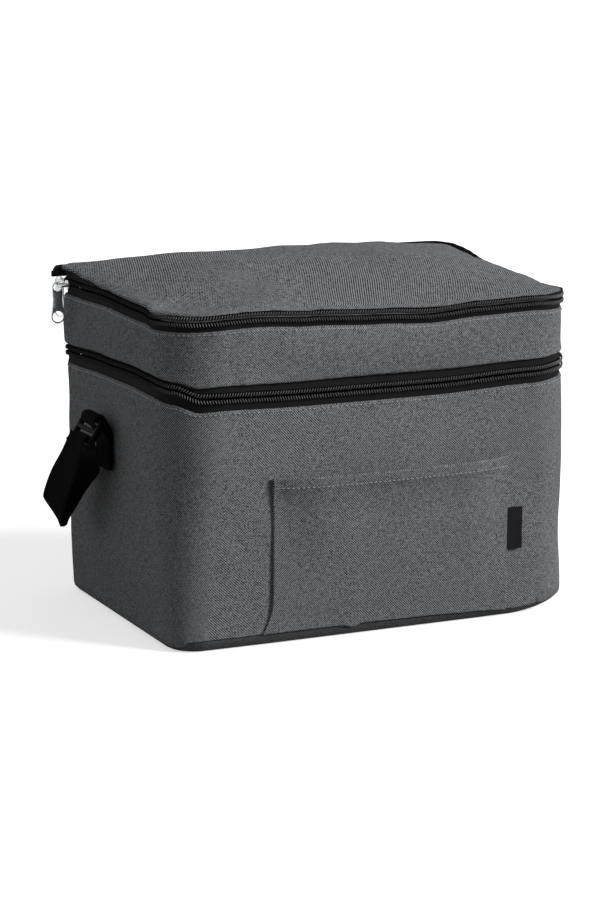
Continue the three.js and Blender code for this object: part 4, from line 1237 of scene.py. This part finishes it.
class COOLERBAG_OT_zips(CoolerBagOperator):
    """Makes both zips' tapes and teeth, and the cloth hinges at the back."""

    bl_idname = "cooler_bag.zips"
    bl_label = "Zips"

    def make(self):
        whole = level(sizes().tape_width)
        under_lid = lambda s: eased_round(s, LID_EDGE) + GAP
        zip_half("low_zip_lower", "main_compartment", low_line, -1, round_back(84), whole)
        zip_half("low_zip_upper", "upper_compartment", low_line, 1, round_back(80), whole)
        zip_half("top_zip_lower", "upper_compartment", top_line, -1, round_back(84), whole)
        zip_half("top_zip_upper", "lid", top_line, 1, round_back(80), under_lid)
        left, right = round_back(86)
        reach = 3 * MM
        for name, z, lower, upper in [
                ("compartment_hinge", LOW_ZIP, "main_compartment", "upper_compartment"),
                ("lid_hinge", TOP_ZIP, "upper_compartment", "lid")]:
            cloth = wall(f"{name}_cloth", right, ROUND + left, level(z - TAPE_END),
                         level(z + TAPE_END), face=UNDER_FABRIC, thickness=TAPE, rise=0.8 * MM,
                         step=4 * MM)
            ends = (0, HINGE_Y, z - reach), (0, HINGE_Y, z + reach)
            dressed(cloth, (lower, upper, *ends), "tape", name)
        self.tape_end()
        self.standing_tape("top_zip_back_fold", 1.1, [
            (at_right(34), 2, 3.4), (at_right(44), 2.4, 5.2), (at_right(52), 3, 6.9),
            (at_right(60), 3.6, 8.5), (at_right(72), 4.6, 9.8), (round_back(25)[1], 5.4, 10.6),
            (round_back(65)[1], 6, 11.2), (S_BACK + 26 * MM, 6.4, 11.4),
            (S_BACK + 44 * MM, 6.6, 10)])
        self.standing_tape("top_zip_front_fold", 0.2, [
            (S_FRONT_RIGHT + 8 * MM, 2.6, 3.6), (S_FRONT_RIGHT + 22 * MM, 2.8, 4.8),
            (S_RIGHT - 16 * MM, 2.6, 4.9), (S_RIGHT - 2 * MM, 2.2, 4.4), (at_right(-46), 2, 3.9),
            (at_right(-36), 2, 3.4)])

    def tape_end(self):
        """The lid tape's end, which stands up in two folds behind the sliders. Rows are
        degrees round the back left corner, mm out from it, the middle's height above the
        zip and half the tape's height there."""
        x, y = BACK_RADIUS - HALF_W, HALF_D - BACK_RADIUS
        rows = [(118, -2, 7.4, 1.8), (124, 2, 7.6, 2.8), (130, 5, 7.4, 3.2), (136, 7, 7.2, 3.2),
                (141, 7.6, 7, 3.1), (144, 8.3, 5.3, 1.4), (147, 9, 5.4, 1.9), (151, 9.3, 5.4, 2),
                (155, 7.8, 5.6, 1.9), (157, 5, 6, 2), (158, 1, 6.4, 2.2), (160, -1.5, 6.6, 2.2)]
        made = smooth_path([
            (*circle(x, y, BACK_RADIUS + out * MM, 1, angle)[0], TOP_ZIP + high * MM, half * MM)
            for angle, out, high, half in rows], 0.8 * MM)
        folds = ribbon("top_zip_tape_end", made[:, :3], (0, 0, 1), 2.0, FOLD, widths=made[:, 3:])
        dressed(folds, "lid", "tape")
        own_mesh(folds)

    def standing_tape(self, name, out, rows):
        """Lid tape that stands up at the lid's edge, out mm outside it. Rows are a way
        round and the tape's lower and upper edge in mm above the zip."""
        rows = np.array(rows)
        s = np.arange(rows[0, 0], rows[-1, 0], 1.2 * MM)
        low, high = (eased(s, rows[:, [0, k]]) for k in (1, 2))
        ends = np.minimum(s - s[0], s[-1] - s)
        path = outline(s, top_line(s) + (low + high) / 2, out * MM - 3.6 * MM * near(ends, 5 * MM))
        fold = ribbon(name, path, (0, 0, 1), 2.0, FOLD, widths=(high - low)[:, None] / 2)
        dressed(fold, "lid", "tape")


def front_face(x, z):
    """Distance of the front panel from the middle, at a point of it."""
    left, right = -HALF_W + front_radius(-1, z), HALF_W - front_radius(1, z)
    along = np.sin(pi * np.clip((x - left) / (right - left), 0, 1))
    share = np.clip((z - BASE_ROLL) / PANEL_HEIGHT, 0, 1)
    return HALF_D + FRONT_SWELL * along * np.sin(pi * share)


def pocket_faces(a, b):
    """The pocket's outer and inner face, at shares a of its width and b of its height."""
    left = -75.4 * MM - 6.4 * MM * np.clip(1 - b / 0.22, 0, 1) ** 2
    right = 87.5 * MM - 0.5 * MM * b
    x = left + (right - left) * a
    way = at_front(x / MM)
    low = base_edge(way) + 1.0 * MM
    z = low + (POCKET_TOP - low) * b
    up = b * POCKET_HEIGHT
    edge = np.minimum(a, 1 - a) * POCKET_WIDTH
    lift = (1 - near(edge, 34 * MM)) * (1 - near(up, 60 * MM))
    seed = sizes().seed + 100
    waves = (sizes().wrinkle * field(x, z, 38 * MM, seed)
             + 0.3 * MM * field(x, z, 15 * MM, seed + 1))
    hem = 0.6 * MM * (1 - near(up - 89.8 * MM, 0.8 * MM))
    mouth = 2.6 * MM * (1 - near(edge, 13 * MM)) * near(POCKET_HEIGHT - up, 26 * MM)
    sewn = near(up, 22 * MM)
    stand = (1.2 - 1.0 * sewn) * MM + (4 * b**1.5 + 0.7) * MM * lift + mouth + waves * lift
    rim = np.minimum(edge, np.minimum(b, 1 - b) * POCKET_HEIGHT)
    inner = front_face(x, z) + roll_in(way, z) + stand
    outer = inner + hem + 1.2 * MM - rounded_off(rim, 0.5 * MM)
    return np.stack([x, -outer, z], -1), np.stack([x, -inner, z], -1)


class COOLERBAG_OT_front_pocket(CoolerBagOperator):
    """Makes the front pocket with its hem, and the woven label in its seam."""

    bl_idname = "cooler_bag.front_pocket"
    bl_label = "Front Pocket"

    def make(self):
        grid = lambda *ways: np.meshgrid(*(shares(*way) for way in ways), indexing="ij")
        outer, inner = pocket_faces(*grid((POCKET_WIDTH, 2.1 * MM), (POCKET_HEIGHT, 1.9 * MM)))
        pocket = shell("front_pocket_panel", outer, inner, outer[..., [0, 2]])
        dressed(pocket, "main_compartment", "cloth", "front_pocket")

        a, b = grid((11.3 * MM, 0.9 * MM), (29 * MM, 1.5 * MM))
        x, z = 86.4 * MM + 10.6 * MM * a, 44.8 * MM + 27 * MM * b
        curl = 1.2 * MM + 0.6 * MM * a**2 + 0.15 * MM * field(x, z, 8 * MM, sizes().seed + 102)
        outer, inner = (np.stack([x, -(front_face(x, z) + curl + thickness), z], -1)
                        for thickness in (0.9 * MM, 0))
        label = shell("pocket_label_cloth", outer, inner, outer[..., [0, 2]])
        dressed(label, "main_compartment", "label", "pocket_label")


def slider_frame(x, y, z, degrees):
    """The matrix of a slider that faces a way: x along the zip, y up, z out of the bag."""
    out, up = Vector((cos(radians(degrees)), sin(radians(degrees)), 0)), Vector((0, 0, 1))
    turn = Matrix((up.cross(out), up, out)).transposed().to_4x4()
    return Matrix.Translation((x, y, z)) @ turn


class COOLERBAG_OT_sliders(CoolerBagOperator):
    """Makes the four zip sliders and their pulls."""

    bl_idname = "cooler_bag.sliders"
    bl_label = "Sliders"

    def make(self):
        turn = 56
        (x, y), = circle(HALF_W - BACK_RADIUS, HALF_D - BACK_RADIUS, BACK_RADIUS, 1, turn)
        for prefix, side, z in [("top", -1, TOP_ZIP), ("low", 1, LOW_ZIP)]:
            facing = lambda degrees: degrees if side > 0 else 180 - degrees
            self.slider(f"{prefix}_slider_side", slider_frame(side * HALF_W, 76 * MM, z, facing(0)))
            self.slider(f"{prefix}_slider_corner", slider_frame(side * x, y, z, facing(turn)),
                        1.08 * MM)

    def slider(self, name, matrix, deeper=0.0):
        """A slider of two shells round a post, whose back shell may lie deeper, its bail
        and its pull."""
        raised = lambda z: matrix @ Matrix.Translation((0, 0, z))
        half = 4 * MM
        shape = rounded_box(10 * MM, 2 * half, 2.6 * MM)
        shield = [(x * (0.6 - 0.12 * abs(y) / half), y * 0.78) for x, y in shape]
        face = plate("face", [shield], 1.1 * MM, 0.4 * MM, raised(2.05 * MM))
        back = plate("back", [shape], 1.0 * MM, 0.3 * MM, raised(-2.75 * MM - deeper))
        post = plate("post", [rounded_box(4 * MM, 0.8 * MM, 0.3 * MM, 2)], 4.6 * MM + deeper,
                     0.1 * MM, raised(-0.35 * MM - deeper / 2))
        arch = [(3.5, 1.9), (3.5, 6.6), (3.2, 7.9), (2.2, 8.7)]
        arch = [(-x, z) for x, z in arch] + [(0, 8.95)] + arch[::-1]
        path = smooth_path([(x * MM, 0, z * MM) for x, z in arch], 0.5 * MM)
        wire = 0.7 * MM * np.array(circle(0, 0, 1, 12))
        bail = swept("bail", path, (0, 1, 0), 1.35 * wire[:, 0], wire[:, 1], mapped=False, sharp=40)
        body = combined(name + "_body", [face, back, post, moved(bail, matrix)])
        dressed(body, name, "nickel", name)
        top, foot, fall = 3.6 * MM, 4.6 * MM, 19.1 * MM
        waist = [(-3.5, -4.5), (-3.3, -8), (-3.6, -12.5)]
        tab = circle(0, 0, top, 15, 0, 180, True) + [(x * MM, y * MM) for x, y in waist]
        tab += circle(0, -fall, foot, 19, 165, 375, True)
        tab += [(-x * MM, y * MM) for x, y in reversed(waist)]
        holes = [circle(0, 0, 2.6 * MM, 24), circle(0, -fall, 3.5 * MM, 28)]
        hung = Matrix.Translation((0, -1.05 * MM, 8.8 * MM)) @ Matrix.Rotation(pi / 2, 4, "Y")
        pull = plate(name + "_pull_tab", [tab, *holes], 1.2 * MM, 0.35 * MM, matrix @ hung)
        dressed(pull, name + "_pull", "nickel", name + "_pull")


class COOLERBAG_OT_side_fittings(CoolerBagOperator):
    """Makes the webbing tabs, buckles and strap loops at both sides."""

    bl_idname = "cooler_bag.side_fittings"
    bl_label = "Side Fittings"

    def make(self):
        for side, sign in (("right", 1), ("left", -1)):
            self.tab(side, sign)
            self.buckle(side, sign)
            self.loop(side, sign)

    def tab(self, side, sign):
        """The sewn webbing tab, which goes up, round the buckle's bar and down again."""
        face = HALF_W + SIDE_SWELL + GAP + WEBBING_THICKNESS / 2
        over = face + WEBBING_THICKNESS + GAP
        points = [(face, 98 * MM), (face, 111 * MM), (face, 122 * MM)]
        points += circle(BUCKLE_X, BUCKLE_Z, BAR_TURN, 9, 150, -90, True)
        points += [(over + 1.4 * MM, 119.5 * MM), (over, 115 * MM), (over, 106 * MM),
                   (over, 98 * MM)]
        path = smooth_path([(sign * x, TAB_Y, z) for x, z in points], 1.2 * MM)
        tab = ribbon(f"{side}_tab_webbing", path, (0, 1, 0), WEBBING_WIDTH, WEBBING_THICKNESS)
        dressed(tab, "main_compartment", "webbing", f"{side}_strap_tab")

    def buckle(self, side, sign):
        """The ladder-lock buckle: a frame with two windows, which leans on its bar."""
        up, out = cos(BUCKLE_LEAN), sin(BUCKLE_LEAN)
        turn = Matrix(((0, -sign * out, sign * up), (1, 0, 0), (0, up, out))).to_4x4()
        matrix = (Matrix.Translation((sign * BUCKLE_X, TAB_Y, BUCKLE_Z)) @ turn
                  @ Matrix.Translation((0, -BUCKLE_PITCH, 0)))
        width, bar, thickness = 34 * MM, 3.2 * MM, 3.6 * MM
        window = rounded_box(width - 2 * thickness, BUCKLE_PITCH - bar, 1.2 * MM, 4)
        holes = [[(x, y + place * BUCKLE_PITCH) for x, y in window] for place in (-0.5, 0.5)]
        rim = rounded_box(width, 2 * BUCKLE_PITCH + bar, 4.2 * MM, 8)
        made = plate(f"{side}_buckle_frame", [rim, *holes], thickness, 1.3 * MM, matrix, 4)
        dressed(made, f"{side}_buckle", "plastic", f"{side}_buckle")

    def loop(self, side, sign):
        """The strap loop, which hangs from the buckle's lower bar and twists as it falls.
        Rows are x, y, z and degrees of twist."""
        x = BUCKLE_X + 2 * BUCKLE_PITCH * sin(BUCKLE_LEAN)
        z = BUCKLE_Z - 2 * BUCKLE_PITCH * cos(BUCKLE_LEAN)
        bulge, fall, back, twist, fold = 8 * MM, 53 * MM, 38 * MM, 38, 2.5 * MM
        fallen = lambda out, share: (
            x + out, TAB_Y + back * max(0, 1.1 * share - 0.1), z - fall * share, twist * share)
        rows = [(x - BAR_TURN - 1 * MM, TAB_Y, z - BAR_TURN - 1 * MM, 0)]
        rows += [(a, TAB_Y, b, 0) for a, b in circle(x, z, BAR_TURN, 7, 195, 3, True)]
        rows += [fallen(out, share) for out, share in [
            (bulge - 2 * MM, 0.3), (bulge, 0.6), (bulge, 0.9), (bulge - 1.5 * MM, 1),
            (bulge - 1.5 * MM - fold, 1), (bulge - 2 * fold, 0.9), (-fold, 0.6),
            (-bulge, 0.35), (1 * MM - bulge, 0.2)]]
        made = smooth_path(rows, 1.2 * MM, closed=True)
        turn = np.radians(made[:, 3])
        across = np.stack([-0.4 * np.sin(turn), -np.cos(turn), -np.sin(turn)], -1)
        mirrored = np.array([sign, 1, 1])
        loop = ribbon(f"{side}_loop_webbing", made[:, :3] * mirrored, across * mirrored,
                      WEBBING_WIDTH, WEBBING_THICKNESS, closed=True)
        dressed(loop, f"{side}_strap_loop", "webbing", f"{side}_strap_loop")


class COOLERBAG_OT_stitching(CoolerBagOperator):
    """Sews the rows of topstitching along both zips and the pocket's hem."""

    bl_idname = "cooler_bag.stitching"
    bl_label = "Stitching"

    def make(self):
        s = np.arange(*round_back(80), 1.5 * MM)
        for name, body, bottom, top, face, swell in [
                ("main_top", "main_compartment", base_edge, wrap_top, main_face, 1.0),
                ("band_top", "upper_compartment", band_low, band_top, band_face, 0.75)]:
            height = top(s) - 1.7 * MM
            place = (height - bottom(s)) / (top(s) - bottom(s))
            path = outline(s, height, face(s, height, place) + 0.2 * MM, swell * np.sin(pi * place))
            self.sew(name, body, path)
        a = np.linspace(0.015, 0.985, 130)
        hem, _ = pocket_faces(a, 0.938 + 0 * a)
        self.sew("pocket_hem", "main_compartment", hem - [0, 0.15 * MM, 0])

    def sew(self, name, body, path):
        settings = sizes()
        pitch, width = settings.stitch_pitch, settings.stitch_width
        row = rods(f"{name}_stitches", path, False, "thread", Pitch=pitch, Along=0.68 * pitch,
                   Across=width, Deep=0.9 * width, Turn=0.0, Unevenness=radians(5),
                   Seed=settings.seed + 1)
        dressed(row, body, "thread")


def seen(tree):
    """1 for the camera and for reflections, 0 for the light that falls on the bag."""
    rays = added(tree, "ShaderNodeLightPath").outputs
    glossy = maths("MAXIMUM", rays["Is Camera Ray"], rays["Is Glossy Ray"])
    return maths("MAXIMUM", glossy, rays["Is Transmission Ray"])


class COOLERBAG_OT_stage(CoolerBagOperator):
    """Sets the floor, the lamps, the world and the camera at the photograph's angle."""

    bl_idname = "cooler_bag.stage"
    bl_label = "Stage"

    def make(self):
        scene = bpy.context.scene
        scene.view_settings.view_transform = "Standard"
        self.floor()
        self.world(scene)
        self.lamps()
        self.camera(scene)

    def floor(self):
        mesh = bpy.data.meshes.new("floor")
        reach = 12.0
        corners = [(-reach, -reach, 0), (reach, -reach, 0), (reach, reach, 0), (-reach, reach, 0)]
        mesh.from_pydata(corners, [], [(0, 1, 2, 3)])
        paper = Finish("floor_paper", Roughness=0.9, Specular_IOR_Level=0.0,
                       Emission_Color=(1, 1, 1, 1))
        direct = seen(paper.tree)
        feed(paper.shader["Base Color"], blended(direct, (0.25, 0.25, 0.25), (0.9, 0.9, 0.9)))
        feed(paper.shader["Emission Strength"], maths("MULTIPLY", direct, 0.55))
        mesh.materials.append(paper.material)
        placed("floor", mesh)

    def world(self, scene):
        scene.world = bpy.data.worlds.new("studio")
        scene.world.use_nodes = True
        tree = scene.world.node_tree
        feed(tree.nodes["Background"].inputs["Color"],
             blended(seen(tree), (0.29, 0.29, 0.293), (1, 1, 1)))

    def lamps(self):
        for name, strength, spread, way in [
                ("key", 3.4, 22, (0.66, -0.57, 0.49)), ("fill", 0.42, 60, (-0.8, 0.5, 0.5))]:
            lamp = bpy.data.lights.new(name, "SUN")
            lamp.energy, lamp.angle = strength, radians(spread)
            self.aim(placed(name, lamp), Vector(way))

    def camera(self, scene):
        """The camera solved from the photograph, which is 600 by 900 pixels."""
        azimuth, elevation, distance = radians(-24.925), radians(11.712), 1811.0 * MM
        focal, centre = 2800, 317.52
        width, height = 600, 900
        target = Vector((0, 0, 98.04 * MM))
        back = Vector((sin(azimuth) * cos(elevation), -cos(azimuth) * cos(elevation),
                       sin(elevation)))
        data = bpy.data.cameras.new("camera")
        data.sensor_fit = "VERTICAL"
        data.lens = focal / height * data.sensor_height
        data.shift_x = -(centre - width / 2) / height
        data.clip_start, data.clip_end = 0.05, 50
        scene.camera = placed("camera", data)
        scene.camera.location = target + back * distance
        self.aim(scene.camera, back)

    def aim(self, obj, back):
        """Turns a lamp or camera to look down from the way that back points."""
        obj.rotation_mode = "QUATERNION"
        obj.rotation_quaternion = back.to_track_quat("Z", "Y")


class COOLERBAG_PT_panel(bpy.types.Panel):
    """Lists the bag's settings and the operators that make its pieces."""

    bl_label = "Cooler Bag"
    bl_idname = "COOLERBAG_PT_panel"
    bl_space_type = "VIEW_3D"
    bl_region_type = "UI"
    bl_category = "Cooler Bag"

    def draw(self, context):
        column = self.layout.column()
        for settings in (context.scene.cooler_bag_sizes, context.scene.cooler_bag_colours):
            for name in settings.__annotations__:
                column.prop(settings, name)
        for operator in OPERATORS:
            column.operator(operator.bl_idname)


OPERATORS = (
    COOLERBAG_OT_stage, COOLERBAG_OT_main_compartment, COOLERBAG_OT_front_pocket,
    COOLERBAG_OT_upper_compartment, COOLERBAG_OT_lid, COOLERBAG_OT_zips, COOLERBAG_OT_sliders,
    COOLERBAG_OT_side_fittings, COOLERBAG_OT_stitching)
CLASSES = (CoolerBagColours, CoolerBagSizes, *OPERATORS, COOLERBAG_PT_panel)


def register():
    for cls in CLASSES:
        bpy.utils.register_class(cls)
    bpy.types.Scene.cooler_bag_colours = PointerProperty(type=CoolerBagColours)
    bpy.types.Scene.cooler_bag_sizes = PointerProperty(type=CoolerBagSizes)


def unregister():
    del bpy.types.Scene.cooler_bag_sizes
    del bpy.types.Scene.cooler_bag_colours
    for cls in reversed(CLASSES):
        bpy.utils.unregister_class(cls)


def main():
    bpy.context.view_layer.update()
    register()
    for operator in OPERATORS:
        group, name = operator.bl_idname.split(".")
        getattr(getattr(bpy.ops, group), name)()


if __name__ == "__main__":
    main()
